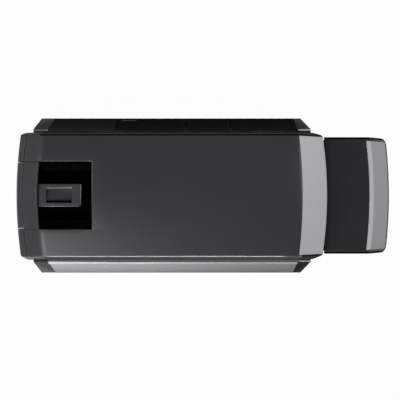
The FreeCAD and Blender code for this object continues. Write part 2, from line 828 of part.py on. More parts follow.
node(
    "cover_latch_hook",
    fuse(
        "latch_hook",
        box(
            "latch_stem",
            ("-latch_half", "-cover_half_rim + cover_wall + hinge_gap", f"{LEDGE} - latch_depth"),
            (
                "latch_half", "-cover_half_rim + cover_wall + hinge_gap + latch_thick",
                f"{LEDGE} + latch_rise",
            ),
        ),
        box(
            "latch_nose",
            ("-latch_half", "-cover_half_rim + cover_wall + hinge_gap", f"{LEDGE} - latch_depth"),
            (
                "latch_half", "-cover_half_rim + cover_wall + hinge_gap + 2 * latch_thick - latch_gap",
                f"{LEDGE} - deck_thick - latch_gap",
            ),
        ),
    ),
)


# Input hopper: black bin between the chassis plates, card weight and its handle

BIN_HALF = "(card_width / 2 + card_play)"
BIN_END = "(-bin_right + bin_wall)"
BIN_TOP = f"({CARD} + bin_height)"
BIN_LEFT = "(-cover_crease + weight_gap)"
bin_parts = [
    box(
        "bin_floor",
        ("-bin_right - card_length - bin_floor_spare", f"-{BIN_HALF} - bin_wall", f"{CARD} - bin_wall"),
        (BIN_END, f"{BIN_HALF} + bin_wall", CARD),
    ),
    box("bin_end", ("-bin_right", f"-{BIN_HALF}", f"{CARD} + bin_slot"), (BIN_END, BIN_HALF, BIN_TOP)),
]
for side, inner, sign in (("front", f"-{BIN_HALF}", "-"), ("rear", BIN_HALF, "")):
    edges = {"wall": f"{inner} + {sign}bin_wall", "flange": f"{sign}(pit_half - door_gap)",
             "pad": f"{sign}chassis_half"}
    spans = {"wall": (BIN_LEFT, f"{CARD} - bin_wall", BIN_TOP),
             "flange": (BIN_LEFT, f"{BIN_TOP} - bin_flange_thick", BIN_TOP),
             "pad": ("-chassis_left", f"{CARD} + card_play", f"{CARD} + card_play + bin_pad_height")}
    for name, (left, low, high) in spans.items():
        across = (inner, edges[name]) if sign == "" else (edges[name], inner)
        bin_parts.append(box(f"bin_{name}_{side}", (left, across[0], low), (BIN_END, across[1], high)))
pick_window = box(
    "pick_window",
    (
        "-pick_x - roller_radius - track_margin", "-pick_half - track_margin",
        f"{CARD} - bin_wall - overcut",
    ),
    ("-pick_x + roller_radius + track_margin", "pick_half + track_margin", f"{CARD} + overcut"),
)
node("input_hopper_bin", cut("bin_cut", fuse("bin_body", *bin_parts), pick_window))

WEIGHT_LOW = f"({CARD} + weight_rise)"
WEIGHT_TOP = f"({WEIGHT_LOW} + weight_thick)"
WEIGHT_RIGHT = "(-bin_right - weight_end_gap)"
node(
    "card_weight",
    box(
        "weight_plate", (f"{WEIGHT_RIGHT} - weight_length", f"-{BIN_HALF} + weight_gap", WEIGHT_LOW),
        (WEIGHT_RIGHT, f"{BIN_HALF} - weight_gap", WEIGHT_TOP),
    ),
)
HANDLE_MIDDLE = "(-handle_left + handle_length / 2)"
handle_block = box("handle_block", ("-handle_left", "-handle_half", WEIGHT_TOP),
                   ("-handle_left + handle_length", "handle_half", f"{WEIGHT_TOP} + handle_height"))
handle_recess = box(
    "handle_recess",
    (
        f"{HANDLE_MIDDLE} - recess_length / 2", "-recess_half",
        f"{WEIGHT_TOP} + handle_height - recess_depth",
    ),
    (f"{HANDLE_MIDDLE} + recess_length / 2", "recess_half", f"{WEIGHT_TOP} + handle_height + overcut"),
)
node("weight_handle", cut("handle_cut", handle_block, handle_recess))


# Output hopper: tub, hinged lid and the lid's silver end band

LID_LEAN = "atan(lid_drop / (lid_right - lid_flat_right))"
TUB_STEP = f"({LEDGE} - hopper_step)"
TUB_TOP = "(lid_top - lid_wall - lid_gap)"
TUB_SHIFT = f"((lid_wall + lid_gap) / sin({LID_LEAN}))"
TUB_BEND = f"(lid_flat_right - {TUB_SHIFT} + (lid_top - {TUB_TOP}) / tan({LID_LEAN}))"
TUB_LIP = f"(lid_top - (hopper_end_top - lid_flat_right + {TUB_SHIFT}) * tan({LID_LEAN}))"
LID_X = "(lid_left + lid_axis_in)"
LID_Z = "(lid_top - lid_axis_down)"


def lid_pin_rods(name, gap):
    return [rod(f"{name}_{side}", f"lid_pin_radius + {gap}", (LID_X, start, LID_Z),
                "lid_half - hopper_half + 2 * hopper_wall")
            for side, start in (("front", "-lid_half"), ("rear", "hopper_half - 2 * hopper_wall"))]


tub_block = prism("tub_block", "XZ", [
    ("hopper_mount_face", "hopper_floor"),
    ("hopper_end_low", "hopper_floor"),
    ("hopper_end_top", TUB_LIP),
    (TUB_BEND, TUB_TOP),
    ("lid_left + hinge_relief", TUB_TOP),
    ("lid_left", f"{TUB_TOP} - hinge_relief"),
    ("lid_left", TUB_STEP),
    ("hopper_mount_face", TUB_STEP),
], "-hopper_half", "hopper_half")
tub_hollow = box("tub_hollow", (MOUNT_INNER, "-hopper_half + hopper_wall", "hopper_floor + hopper_wall"),
                 ("hopper_end_top - hopper_wall", "hopper_half - hopper_wall", "lid_top"))
node(
    "output_hopper_tub",
    cut("tub_cut", tub_block, tub_hollow, *hopper_bores, *lid_pin_rods("tub_pin_bore", "press_gap")),
)
node("lid_hinge_pins", group("lid_pins_group", *lid_pin_rods("lid_pin", "0")))
node(
    "hopper_screws",
    group(
        "hopper_screws_group",
        *[
            fuse(
                f"hopper_screw_{index}",
                rod(
                    f"hopper_shank_{index}", "screw_radius", (f"{MOUNT_INNER} - screw_length", y, z),
                    "screw_length", "x",
                ),
                rod(
                    f"hopper_head_{index}", "screw_head_radius", (MOUNT_INNER, y, z), "screw_head_height",
                    "x",
                ),
            )
            for index, (y, z) in enumerate(HOPPER_SCREWS)
        ],
    ),
)

lid_side = prism("lid_side", "XZ", [
    ("lid_left", "lid_top - lid_skirt"),
    ("lid_flat_right - lid_skirt / 2", "lid_top - lid_skirt"),
    ("lid_right - lid_lip", "lid_top - lid_drop - lid_lip / 2"),
    ("lid_right", "lid_top - lid_drop"),
    ("lid_flat_right", "lid_top"),
    ("lid_left", "lid_top"),
], "-lid_half", "lid_half")
LID_CHORD = "(lid_right - lid_bow)"
lid_plan = prism("lid_plan", "XY", [
    ("lid_left", "-lid_half"),
    (f"{LID_CHORD} - lid_corner_run", "-lid_half", "lid_corner_radius"),
    (LID_CHORD, "-lid_corner_half", bow_radius("lid_corner_half", "lid_bow")),
    (LID_CHORD, "lid_corner_half", "lid_corner_radius"),
    (f"{LID_CHORD} - lid_corner_run", "lid_half"),
    ("lid_left", "lid_half"),
], "hopper_floor", "lid_top + overcut")
lid_outer = common("lid_outer", lid_side, lid_plan)


def lid_hollow(name, inset, half):
    """The space under the lid's flat and sloped skin of one thickness."""
    shift = f"({inset} / sin({LID_LEAN}))"
    foot = f"(lid_right - {shift} + overcut / tan({LID_LEAN}))"
    return prism(name, "XZ", [
        ("lid_left - overcut", "hopper_floor"),
        (foot, "hopper_floor"),
        (foot, "lid_top - lid_drop - overcut"),
        (f"lid_flat_right - {shift} + {inset} / tan({LID_LEAN})", f"lid_top - {inset}"),
        ("lid_left - overcut", f"lid_top - {inset}"),
    ], neg(half), half)


lid_zone = prism("lid_zone", "XY", [
    ("lid_flat_right - lid_bow", "-lid_band_half"),
    ("lid_right + overcut", "-lid_band_half"),
    ("lid_right + overcut", "lid_band_half"),
    ("lid_flat_right - lid_bow", "lid_band_half", bow_radius("lid_band_half", "lid_bow"), True),
], "hopper_floor", "lid_top + overcut")
lid_band = common("lid_band", cut("lid_skin", lid_outer, lid_hollow("lid_under_band", "bezel_thick",
                                                                    "lid_half + overcut")), lid_zone)
node("output_lid_bezel", lid_band)
node("output_lid", cut("lid_cut", lid_outer, lid_hollow("lid_hollow", "lid_wall", "lid_half - lid_wall"),
                       lid_band, *lid_pin_rods("lid_bore", "run_gap")))


# Chassis, rollers and belt

ROLLER_Z = f"({CARD} - roller_radius)"
PINCH_Z = f"({CARD} + nip_gap + roller_radius)"
CLEANER_Z = f"({CARD} + nip_gap + cleaner_radius)"
PULLEY_Y = "(chassis_half + chassis_thick + pulley_gap)"
SHAFT_END = "(chassis_half + chassis_thick + bush_proud + shaft_over)"
PITCH_GAP = "(gear_module * (platen_teeth + pinion_teeth) / 2 + mesh_gap)"
MOTOR_Z = f"({ROLLER_Z} - {PITCH_GAP})"
AXLES = {"pick": ("-pick_x", ROLLER_Z), "infeed": ("-infeed_x", ROLLER_Z), "platen": ("0", ROLLER_Z),
         "outfeed": ("outfeed_x", ROLLER_Z), "infeed_pinch": ("-infeed_x", PINCH_Z),
         "outfeed_pinch": ("outfeed_x", PINCH_Z), "cleaner": ("-cleaner_x", CLEANER_Z)}
SPOOLS = {"supply": "-ear_x", "takeup": "ear_x"}


def chassis_plate(side, low, high):
    """One upright plate with two ears for the ribbon spools and a foot flange bent inward."""
    sheet_metal = prism(f"plate_{side}", "XZ", [
        ("-chassis_left", FLOOR_TOP),
        ("chassis_right", FLOOR_TOP),
        ("chassis_right", "chassis_top"),
        ("ear_x + ear_half", "chassis_top"),
        ("ear_x + ear_half", "ear_top"),
        ("ear_x - ear_half", "ear_top"),
        ("ear_x - ear_half", "chassis_top"),
        ("-ear_x + ear_half", "chassis_top"),
        ("-ear_x + ear_half", "ear_top"),
        ("-ear_x - ear_half", "ear_top"),
        ("-ear_x - ear_half", "chassis_top"),
        ("-chassis_left", "chassis_top"),
    ], low, high)
    inner = (low, f"{low} + chassis_flange") if side == "front" else (f"{high} - chassis_flange", high)
    flange = box(f"plate_flange_{side}", ("-chassis_left", inner[0], FLOOR_TOP),
                 ("chassis_right", inner[1], f"{FLOOR_TOP} + chassis_thick"))
    holes = [rod(f"{name}_hole_{side}", "bush_radius + press_gap", (x, f"{low} - overcut", z),
                 "chassis_thick + 2 * overcut") for name, (x, z) in AXLES.items()]
    for name, x in SPOOLS.items():
        holes.append(rod(f"{name}_seat_{side}", "spool_hub + run_gap", (x, f"{low} - overcut", "spool_z"),
                         "chassis_thick + 2 * overcut"))
        holes.append(
            box(
                f"{name}_slot_{side}", (f"{x} - spool_hub - run_gap", f"{low} - overcut", "spool_z"),
                (f"{x} + spool_hub + run_gap", f"{high} + overcut", "ear_top + overcut"),
            ),
        )
    if side == "front":
        holes.append(rod("motor_hole", "motor_boss_radius + press_gap", ("0", f"{low} - overcut", MOTOR_Z),
                         "chassis_thick + 2 * overcut"))
    return cut(f"chassis_{side}", fuse(f"bent_plate_{side}", sheet_metal, flange), *holes)


node("chassis_plate_front", chassis_plate("front", "-chassis_half - chassis_thick", "-chassis_half"))
node("chassis_plate_rear", chassis_plate("rear", "chassis_half", "chassis_half + chassis_thick"))
node("chassis_tie_bars", group("tie_group", *[
    rod(f"tie_{index}", "tie_radius", (x, "-chassis_half", z), "2 * chassis_half")
    for index, (x, z) in enumerate((("-tie_x_outer", "tie_low"), ("-tie_x_inner", "tie_high"),
                                    ("tie_x_inner", "tie_high"), ("tie_x_outer", "tie_low")))]))
node(
    "roller_bearings",
    group(
        "bearing_group",
        *[
            ring(
                f"{name}_bush_{side}", "bush_radius", "shaft_radius + run_gap", (x, start, z),
                "chassis_thick + bush_proud",
            )
            for name, (x, z) in AXLES.items()
            for side, start in (
                ("front", "-chassis_half - chassis_thick - bush_proud"), ("rear", "chassis_half")
            )
        ],
    ),
)

TRACK_TOP = f"({CARD} - track_drop)"
track_windows = [
    box(
        f"{name}_window",
        (
            f"{AXLES[name][0]} - roller_radius - track_margin", "-roller_half - track_margin",
            f"{TRACK_TOP} - track_thick - overcut",
        ),
        (
            f"{AXLES[name][0]} + roller_radius + track_margin", "roller_half + track_margin",
            f"{TRACK_TOP} + overcut",
        ),
    )
    for name in ("infeed", "platen", "outfeed")
]
node(
    "card_track",
    cut(
        "track_cut",
        box(
            "track_plate", ("-track_left", "-chassis_half", f"{TRACK_TOP} - track_thick"),
            ("chassis_right", "chassis_half", TRACK_TOP),
        ),
        *track_windows,
    ),
)
SENSOR_TOP = f"({TRACK_TOP} - track_thick)"
node(
    "card_sensor",
    box(
        "sensor_block",
        ("sensor_x - sensor_side / 2", "-sensor_side / 2", f"{SENSOR_TOP} - sensor_height"),
        ("sensor_x + sensor_side / 2", "sensor_side / 2", SENSOR_TOP),
    ),
)

ROLLERS = {"pick": "pick_half", "infeed": "roller_half", "platen": "roller_half", "outfeed": "roller_half",
           "infeed_pinch": "roller_half", "outfeed_pinch": "roller_half", "cleaner": "roller_half"}
LABELS = {"infeed_pinch": "infeed_pinch", "outfeed_pinch": "outfeed_pinch", "cleaner": "cleaning"}
for name, half in ROLLERS.items():
    x, z = AXLES[name]
    label = LABELS.get(name, name)
    skin = "cleaner_radius" if name == "cleaner" else "roller_radius"
    node(
        f"{label}_roller",
        ring(f"{name}_sleeve", skin, "shaft_radius + press_gap", (x, neg(half), z), f"2 * {half}"),
    )
    driven = name in ("pick", "infeed", "platen", "outfeed")
    front = f"({PULLEY_Y} + gear_width + shaft_over)" if name == "platen" else SHAFT_END
    rear = f"({PULLEY_Y} + pulley_width + pulley_flange + shaft_over)" if driven else SHAFT_END
    spindle = rod(f"{name}_spindle", "shaft_radius", (x, neg(front), z), f"{front} + {rear}")
    if driven:
        rims = [
            rod(
                f"{name}_rim_{index}", "pulley_radius + belt_gap + belt_thick", (x, start, z),
                "pulley_flange",
            )
            for index, start in enumerate((f"{PULLEY_Y} - pulley_flange", f"{PULLEY_Y} + pulley_width"))
        ]
        wheel = rod(f"{name}_pulley", "pulley_radius", (x, PULLEY_Y, z), "pulley_width")
        spindle = fuse(f"{name}_pulley_shaft", spindle, wheel, *rims)
    node(f"{label}_shaft", spindle)


def belt_loop(name, radius, low, high):
    """A stadium round the first and last pulleys."""
    ends = [rod(f"{name}_{end}", radius, (x, low, ROLLER_Z), f"{high} - ({low})")
            for end, x in (("pick", "-pick_x"), ("out", "outfeed_x"))]
    middle = box(
        f"{name}_run", ("-pick_x", low, f"{ROLLER_Z} - ({radius})"),
        ("outfeed_x", high, f"{ROLLER_Z} + {radius}"),
    )
    return fuse(name, *ends, middle)


BELT_SPAN = (f"{PULLEY_Y} + belt_margin", f"{PULLEY_Y} + pulley_width - belt_margin")
node(
    "drive_belt",
    cut(
        "belt_cut", belt_loop("belt_outer", "pulley_radius + belt_gap + belt_thick", *BELT_SPAN),
        belt_loop("belt_inner", "pulley_radius + belt_gap", *BELT_SPAN),
    ),
)


# Gear pair and motor on the front plate

def gear_solid(teeth, turn, bore):
    """A spur gear along +Y with its involute flanks thinned for running play."""
    module = worth("gear_module")
    slack = worth("mesh_gap")
    pressure = math.radians(worth("pressure_angle"))
    pitch = module * teeth / 2
    base = pitch * math.cos(pressure)
    tip = pitch + module
    root = pitch - 1.25 * module
    half_tooth = math.pi / (2 * teeth) - slack / (2 * pitch)

    def half_angle(radius):
        slope = math.acos(min(base / radius, 1))
        return half_tooth + (math.tan(pressure) - pressure) - (math.tan(slope) - slope)

    radii = [root, max(base, root), pitch, tip]
    points = []
    for tooth in range(teeth):
        middle = turn + 2 * math.pi * tooth / teeth
        flank = [(radius, middle - half_angle(radius)) for radius in radii]
        flank += [(radius, middle + half_angle(radius)) for radius in reversed(radii)]
        points += [Vector(radius * math.cos(angle), 0, radius * math.sin(angle)) for radius, angle in flank]
    face = Part.Face(Part.makePolygon(points + points[:1]))
    width = worth("gear_width")
    solid = face.extrude(Vector(0, width, 0))
    return solid.cut(Part.makeCylinder(bore, width, Vector(), Vector(0, 1, 0))) if bore else solid


def toothed(name, shape, at):
    wheel = doc.addObject("Part::Feature", name)
    wheel.Shape = shape
    place(wheel, at)
    return wheel


GEAR_Y = f"-({PULLEY_Y} + gear_width)"
platen_teeth = int(worth("platen_teeth"))
pinion_teeth = int(worth("pinion_teeth"))
node(
    "platen_gear",
    toothed(
        "platen_wheel", gear_solid(platen_teeth, -math.pi / 2, worth("shaft_radius + press_gap")),
        ("0", GEAR_Y, ROLLER_Z),
    ),
)
pinion = toothed("pinion_wheel", gear_solid(pinion_teeth, math.pi / 2 + math.pi / pinion_teeth, 0),
                 ("0", GEAR_Y, MOTOR_Z))
MOTOR_REAR = "(-chassis_half + motor_length)"
SHAFT_IN = "(motor_length / 3)"
motor_spindle = rod("motor_spindle", "motor_shaft_radius", ("0", f"{GEAR_Y} - shaft_over", MOTOR_Z),
                    f"-chassis_half + {SHAFT_IN} - ({GEAR_Y} - shaft_over)")
node("motor_pinion", fuse("pinion_on_shaft", pinion, motor_spindle))
motor_can = box("motor_can", ("-motor_side / 2", "-chassis_half", f"{MOTOR_Z} - motor_side / 2"),
                ("motor_side / 2", MOTOR_REAR, f"{MOTOR_Z} + motor_side / 2"))
motor_boss = rod("motor_boss", "motor_boss_radius", ("0", "-chassis_half - motor_boss_height", MOTOR_Z),
                 "motor_boss_height")
motor_bore = rod(
    "motor_bore", "motor_shaft_radius + run_gap", ("0", "-chassis_half - motor_boss_height", MOTOR_Z),
    f"motor_boss_height + {SHAFT_IN} + run_gap",
)
node("drive_motor", cut("motor_cut", fuse("motor_body", motor_can, motor_boss), motor_bore))


# Ribbon spools, dropped into the ears of the chassis plates

for name, x in SPOOLS.items():
    flanges = [rod(f"{name}_flange_{side}", "spool_flange", (x, start, "spool_z"), "spool_flange_thick")
               for side, start in (("front", "-spool_half"), ("rear", "spool_half - spool_flange_thick"))]
    core = rod(f"{name}_core", "spool_core", (x, "-spool_half", "spool_z"), "2 * spool_half")
    hub = rod(f"{name}_hub", "spool_hub", (x, f"-{SHAFT_END}", "spool_z"), f"2 * {SHAFT_END}")
    node(f"ribbon_{name}_spool", fuse(f"{name}_spool", core, hub, *flanges))


# Print head with heat sink, on a bracket screwed under the cover

HEAD_LOW = f"({CARD} + head_lift)"
SINK_LOW = f"({HEAD_LOW} + head_thick)"
SINK_TOP = f"({SINK_LOW} + sink_height)"
head_body = prism("head_body", "XZ", [
    ("-head_half_x / 3", HEAD_LOW),
    ("head_half_x / 3", HEAD_LOW),
    ("head_half_x", f"{HEAD_LOW} + head_thick / 2"),
    ("head_half_x", SINK_LOW),
    ("-head_half_x", SINK_LOW),
    ("-head_half_x", f"{HEAD_LOW} + head_thick / 2"),
], "-head_half_y", "head_half_y")
node("print_head", head_body)
FIN_STEP = "((2 * head_half_x - fin_thick) / (fin_count - 1))"
fin_gaps = [
    box(
        f"fin_gap_{index}",
        (
            f"-head_half_x + fin_thick + {index} * {FIN_STEP}", "-head_half_y - overcut",
            f"{SINK_LOW} + sink_base",
        ),
        (f"-head_half_x + {index + 1} * {FIN_STEP}", "head_half_y + overcut", f"{SINK_TOP} + overcut"),
    )
    for index in range(int(worth("fin_count")) - 1)
]
node("head_heat_sink", cut("sink_cut", box("sink_block", ("-head_half_x", "-head_half_y", SINK_LOW),
                                           ("head_half_x", "head_half_y", SINK_TOP)), *fin_gaps))
bracket_frame = box("bracket_frame", ("-bracket_half_x", "-head_half_y", SINK_TOP),
                    ("bracket_half_x", "head_half_y", BRACKET_TOP))
bracket_space = box(
    "bracket_space",
    ("-bracket_half_x + bracket_thick", "-head_half_y - overcut", f"{SINK_TOP} + bracket_thick"),
    ("bracket_half_x - bracket_thick", "head_half_y + overcut", f"{BRACKET_TOP} - bracket_thick"),
)
bracket_bores = [
    rod(
        f"bracket_bore_{index}", "screw_radius + run_gap", (x, y, f"{BRACKET_TOP} - 2 * bracket_thick"),
        "4 * bracket_thick", "z",
    )
    for index, (x, y) in enumerate(BRACKET_SCREWS)
]
node("print_head_bracket", cut("bracket_cut", bracket_frame, bracket_space, *bracket_bores))
node(
    "bracket_screws",
    group(
        "bracket_screws_group",
        *[
            fuse(
                f"bracket_screw_{index}",
                rod(
                    f"bracket_head_{index}", "screw_head_radius",
                    (x, y, f"{BRACKET_TOP} - bracket_thick - screw_head_height"), "screw_head_height",
                    "z",
                ),
                rod(
                    f"bracket_shank_{index}", "screw_radius", (x, y, f"{BRACKET_TOP} - bracket_thick"),
                    "screw_length", "z",
                ),
            )
            for index, (x, y) in enumerate(BRACKET_SCREWS)
        ],
    ),
)


# Main board on standoffs, its components and the rear connectors

BOARD_LOW = f"({FLOOR_TOP} + board_lift)"
node(
    "main_board",
    box("board", ("-board_left", "board_front", BOARD_LOW), ("board_right", "board_rear", BOARD_TOP)),
)
BOARD_MIDDLE = "((board_right - board_left) / 2)"
chips = [
    box(
        f"chip_{index}",
        (f"{BOARD_MIDDLE} + {shift} * chip_side", "board_front + standoff_inset", BOARD_TOP),
        (
            f"{BOARD_MIDDLE} + ({shift} + 1) * chip_side", "board_front + standoff_inset + chip_side",
            f"{BOARD_TOP} + chip_height",
        ),
    )
    for index, shift in enumerate((-3, 0, 2))
]
cans = [
    rod(
        f"can_{index}", "can_radius",
        (f"-board_left + {shift} * can_radius", "board_front + 3 * can_radius", BOARD_TOP), "can_height",
        "z",
    )
    for index, shift in enumerate((2, 5))
]
node("board_components", group("components_group", *chips, *cans))

JACK_Z = f"({BOARD_TOP} + jack_side / 2)"
jack_bore = rod(
    "jack_bore", "jack_bore", ("-jack_x", "port_rear - port_depth", JACK_Z), "port_depth + overcut"
)
jack_pin = rod(
    "jack_pin", "jack_pin", ("-jack_x", "port_rear - port_depth - overcut", JACK_Z), "port_depth"
)
node(
    "power_inlet",
    fuse(
        "jack", cut("jack_shell", port_block("jack_block", "jack", "port_front", "port_rear"), jack_bore),
        jack_pin,
    ),
)


def socket(name, port, shell):
    """A connector shell open to the rear, with a contact tongue inside."""
    across, width, low, high = PORTS[port]
    mouth = box(
        f"{name}_mouth",
        (f"{across} - {width} / 2 + {shell}", "port_rear - port_depth", f"{low} + {shell}"),
        (f"{across} + {width} / 2 - {shell}", "port_rear + overcut", f"{high} - {shell}"),
    )
    tongue = box(
        f"{name}_tongue",
        (f"{across} - {width} / 4", "port_rear - port_depth - overcut", f"{low} + {shell} / 2"),
        (f"{across} + {width} / 4", "port_rear - 2 * overcut", f"{low} + {shell} + tongue_thick"),
    )
    return fuse(
        name, cut(f"{name}_shell", port_block(f"{name}_block", port, "port_front", "port_rear"), mouth),
        tongue,
    )


node("usb_port", socket("usb", "usb", "usb_shell"))
node("network_port", socket("network", "net", "net_shell"))

SWITCH_Z = "(switch_low + switch_height / 2)"
ROCKER_Y = "(port_rear + rocker_proud - rocker_radius)"
switch_cavity = box(
    "switch_cavity",
    (
        "-switch_x - switch_width / 2 + switch_frame", "port_front + switch_frame",
        "switch_low + switch_frame",
    ),
    (
        "-switch_x + switch_width / 2 - switch_frame", "port_rear + overcut",
        "switch_low + switch_height - switch_frame",
    ),
)
rocker_pin = rod(
    "rocker_pin", "rocker_pin", ("-switch_x - switch_width / 2", ROCKER_Y, SWITCH_Z), "switch_width", "x"
)
node(
    "switch_housing",
    fuse(
        "switch_shell",
        cut("switch_box", port_block("switch_block", "switch", "port_front", "port_rear"), switch_cavity),
        rocker_pin,
    ),
)
rocker_block = prism(
    "rocker_block", "YZ",
    [
        (f"{ROCKER_Y} - rocker_back", f"{SWITCH_Z} - rocker_half"),
        (f"{ROCKER_Y} + rocker_radius", f"{SWITCH_Z} - rocker_half"),
        (f"{ROCKER_Y} + rocker_radius - rocker_proud", SWITCH_Z),
        (f"{ROCKER_Y} + rocker_radius", f"{SWITCH_Z} + rocker_half"),
        (f"{ROCKER_Y} - rocker_back", f"{SWITCH_Z} + rocker_half"),
    ],
    "-switch_x - switch_width / 2 + switch_frame + port_gap",
    "-switch_x + switch_width / 2 - switch_frame - port_gap",
)
node(
    "power_rocker",
    cut(
        "rocker_cut", rocker_block,
        rod(
            "rocker_bore", "rocker_pin + run_gap", ("-switch_x - switch_width / 2", ROCKER_Y, SWITCH_Z),
            "switch_width", "x",
        ),
    ),
)


# Cooling fan over the slots in the bottom plate

FAN_TOP = f"({FLOOR_TOP} + fan_height)"
fan_body = cut("fan_body", box("fan_block", ("fan_x - fan_side / 2", "-fan_side / 2", FLOOR_TOP),
                               ("fan_x + fan_side / 2", "fan_side / 2", FAN_TOP)),
               rod("fan_opening", "fan_bore", ("fan_x", "0", FLOOR_TOP), "fan_height", "z"))
fan_arms = [box("fan_arm_x", ("fan_x - fan_bore - overcut / 2", "-fan_strut", FLOOR_TOP),
                ("fan_x + fan_bore + overcut / 2", "fan_strut", f"{FLOOR_TOP} + fan_strut")),
            box("fan_arm_y", ("fan_x - fan_strut", "-fan_bore - overcut / 2", FLOOR_TOP),
                ("fan_x + fan_strut", "fan_bore + overcut / 2", f"{FLOOR_TOP} + fan_strut")),
            rod("fan_seat", "fan_hub", ("fan_x", "0", FLOOR_TOP), "fan_strut", "z"),
            rod("fan_pin", "fan_pin", ("fan_x", "0", FLOOR_TOP), "fan_height - fan_strut", "z")]
node("fan_frame", fuse("fan_frame_body", fan_body, *fan_arms))


def rotor_solid():
    """A hub with tilted blades round it, standing on the XY plane."""
    height = worth("fan_height - fan_strut - 2 * fan_tip_gap")
    reach = worth("fan_bore - fan_tip_gap")
    hub = worth("fan_hub")
    chord, thick = worth("blade_chord"), worth("blade_thick")
    rotor = Part.makeCylinder(hub, height)
    for blade in range(int(worth("blade_count"))):
        vane = Part.makeBox(reach - hub / 2, chord, thick, Vector(hub / 2, -chord / 2, -thick / 2))
        vane.rotate(Vector(), Vector(1, 0, 0), worth("blade_tilt"))
        vane.translate(Vector(0, 0, height / 2))
        vane.rotate(Vector(), Vector(0, 0, 1), 360 * blade / worth("blade_count"))
        rotor = rotor.fuse(vane)
    rotor = rotor.common(Part.makeCylinder(reach, height))
    return rotor.cut(Part.makeCylinder(worth("fan_pin + run_gap"), height)).removeSplitter()


node("fan_rotor", toothed("rotor", rotor_solid(), ("fan_x", "0", f"{FLOOR_TOP} + fan_strut + fan_tip_gap")))


# Check every object, then write each sub-part to its own file

doc.recompute()
for item in doc.Objects:
    if "Invalid" in item.State or "Error" in item.State:
        raise RuntimeError(f"{item.Label} failed: {item.State}")
os.makedirs("parts", exist_ok=True)
for label, item in nodes.items():
    if item.Shape.isNull() or not item.Shape.isValid():
        raise RuntimeError(f"{label} has no valid shape")
for label, item in nodes.items():
    item.Shape.exportStep(f"parts/{label}.step")
    corners = item.Shape.BoundBox
    print(f"{label}: {len(item.Shape.Solids)} solids, {item.Shape.Volume:.0f} mm3, "
          f"x {corners.XMin:.1f}..{corners.XMax:.1f}, y {corners.YMin:.1f}..{corners.YMax:.1f}, "
          f"z {corners.ZMin:.1f}..{corners.ZMax:.1f}")
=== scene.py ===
# %% [markdown]
# # A desktop card printer, dressed over its CAD frame
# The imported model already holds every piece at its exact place, with its joints. This lesson keeps those
# places and gives the pieces what a plain solid lacks: soft moulded edges, crowned faces, parting lines,
# and finishes that answer to light. Lengths are thought of in millimetres, and one factor turns them into
# Blender's metres.

# %% Load the frame
import json
import math

import bpy
from mathutils import Euler, Matrix, Vector

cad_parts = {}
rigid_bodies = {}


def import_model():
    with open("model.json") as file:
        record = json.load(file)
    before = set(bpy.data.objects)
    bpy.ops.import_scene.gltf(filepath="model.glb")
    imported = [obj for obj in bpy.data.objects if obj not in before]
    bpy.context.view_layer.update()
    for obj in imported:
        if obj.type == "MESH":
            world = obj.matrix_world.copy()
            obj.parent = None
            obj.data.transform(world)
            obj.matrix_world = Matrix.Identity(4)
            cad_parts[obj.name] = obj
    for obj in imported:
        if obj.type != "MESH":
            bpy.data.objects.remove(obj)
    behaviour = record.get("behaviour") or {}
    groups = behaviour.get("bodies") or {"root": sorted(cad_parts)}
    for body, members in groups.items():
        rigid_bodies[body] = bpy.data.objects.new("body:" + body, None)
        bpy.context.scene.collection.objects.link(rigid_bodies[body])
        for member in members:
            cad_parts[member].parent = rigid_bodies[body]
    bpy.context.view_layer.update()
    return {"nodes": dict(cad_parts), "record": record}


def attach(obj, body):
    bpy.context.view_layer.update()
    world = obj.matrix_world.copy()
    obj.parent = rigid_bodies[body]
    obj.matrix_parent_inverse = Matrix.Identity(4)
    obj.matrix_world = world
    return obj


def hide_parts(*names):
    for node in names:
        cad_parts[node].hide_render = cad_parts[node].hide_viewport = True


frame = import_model()
scene = bpy.context.scene
MM = 0.001

# %% [markdown]
# ## Camera
# The photograph looks straight down on the printer from about two metres, so near faces are only a little
# larger than the floor, and the sloping sides show as narrow strips. A long lens from that height, tilted
# by less than half a degree, gives the same strips. A plain orthographic camera would lose them.

# %% Camera above the printer
CAMERA_HEIGHT = 2200
lens = bpy.data.cameras.new("overhead_lens")
lens.lens = 158.4
lens.sensor_width = 36
lens.clip_end = 20
camera = bpy.data.objects.new("overhead_camera", lens)
scene.collection.objects.link(camera)
camera.location = Vector((-8, -1, CAMERA_HEIGHT)) * MM
camera.rotation_euler = (math.atan(-4.6 / CAMERA_HEIGHT), 0, 0)
scene.camera = camera
print("camera at", [round(value, 3) for value in camera.location])

# %% [markdown]
# ## Colours and shader nodes
# Colours are written as sRGB hex, the way a picture program shows them, but shaders add light in linear
# numbers, so one function converts them. A second one adds a shader node, fills its sockets and links it,
# which keeps each finish down to the few lines that describe it.

# %% Colour and node helpers
def linear(code):
    """An sRGB hex colour as linear red, green, blue and alpha."""
    shares = [int(code[place:place + 2], 16) / 255 for place in (1, 3, 5)]
    return [s / 12.92 if s <= 0.04045 else ((s + 0.055) / 1.055) ** 2.4 for s in shares] + [1]


def add(tree, kind, settings=None, links=None):
    """A new shader node with its properties and sockets set, and sockets linked to other nodes."""
    made = tree.nodes.new(kind)
    for key, value in (settings or {}).items():
        if isinstance(key, str) and hasattr(made, key):
            setattr(made, key, value)
        else:
            made.inputs[key].default_value = value
    for key, output in (links or {}).items():
        tree.links.new(output, made.inputs[key])
    return made


def start_finish(name, **settings):
    """A new material: its node tree, its surface shader with constants set, and Object coordinates."""
    made = bpy.data.materials.new(name)
    made.use_nodes = True
    shader = made.node_tree.nodes["Principled BSDF"]
    for key, value in settings.items():
        shader.inputs[key.replace("_", " ")].default_value = value
    return made, made.node_tree, shader, add(made.node_tree, "ShaderNodeTexCoord").outputs["Object"]


print("charcoal grey", [round(part, 4) for part in linear("#343537")])

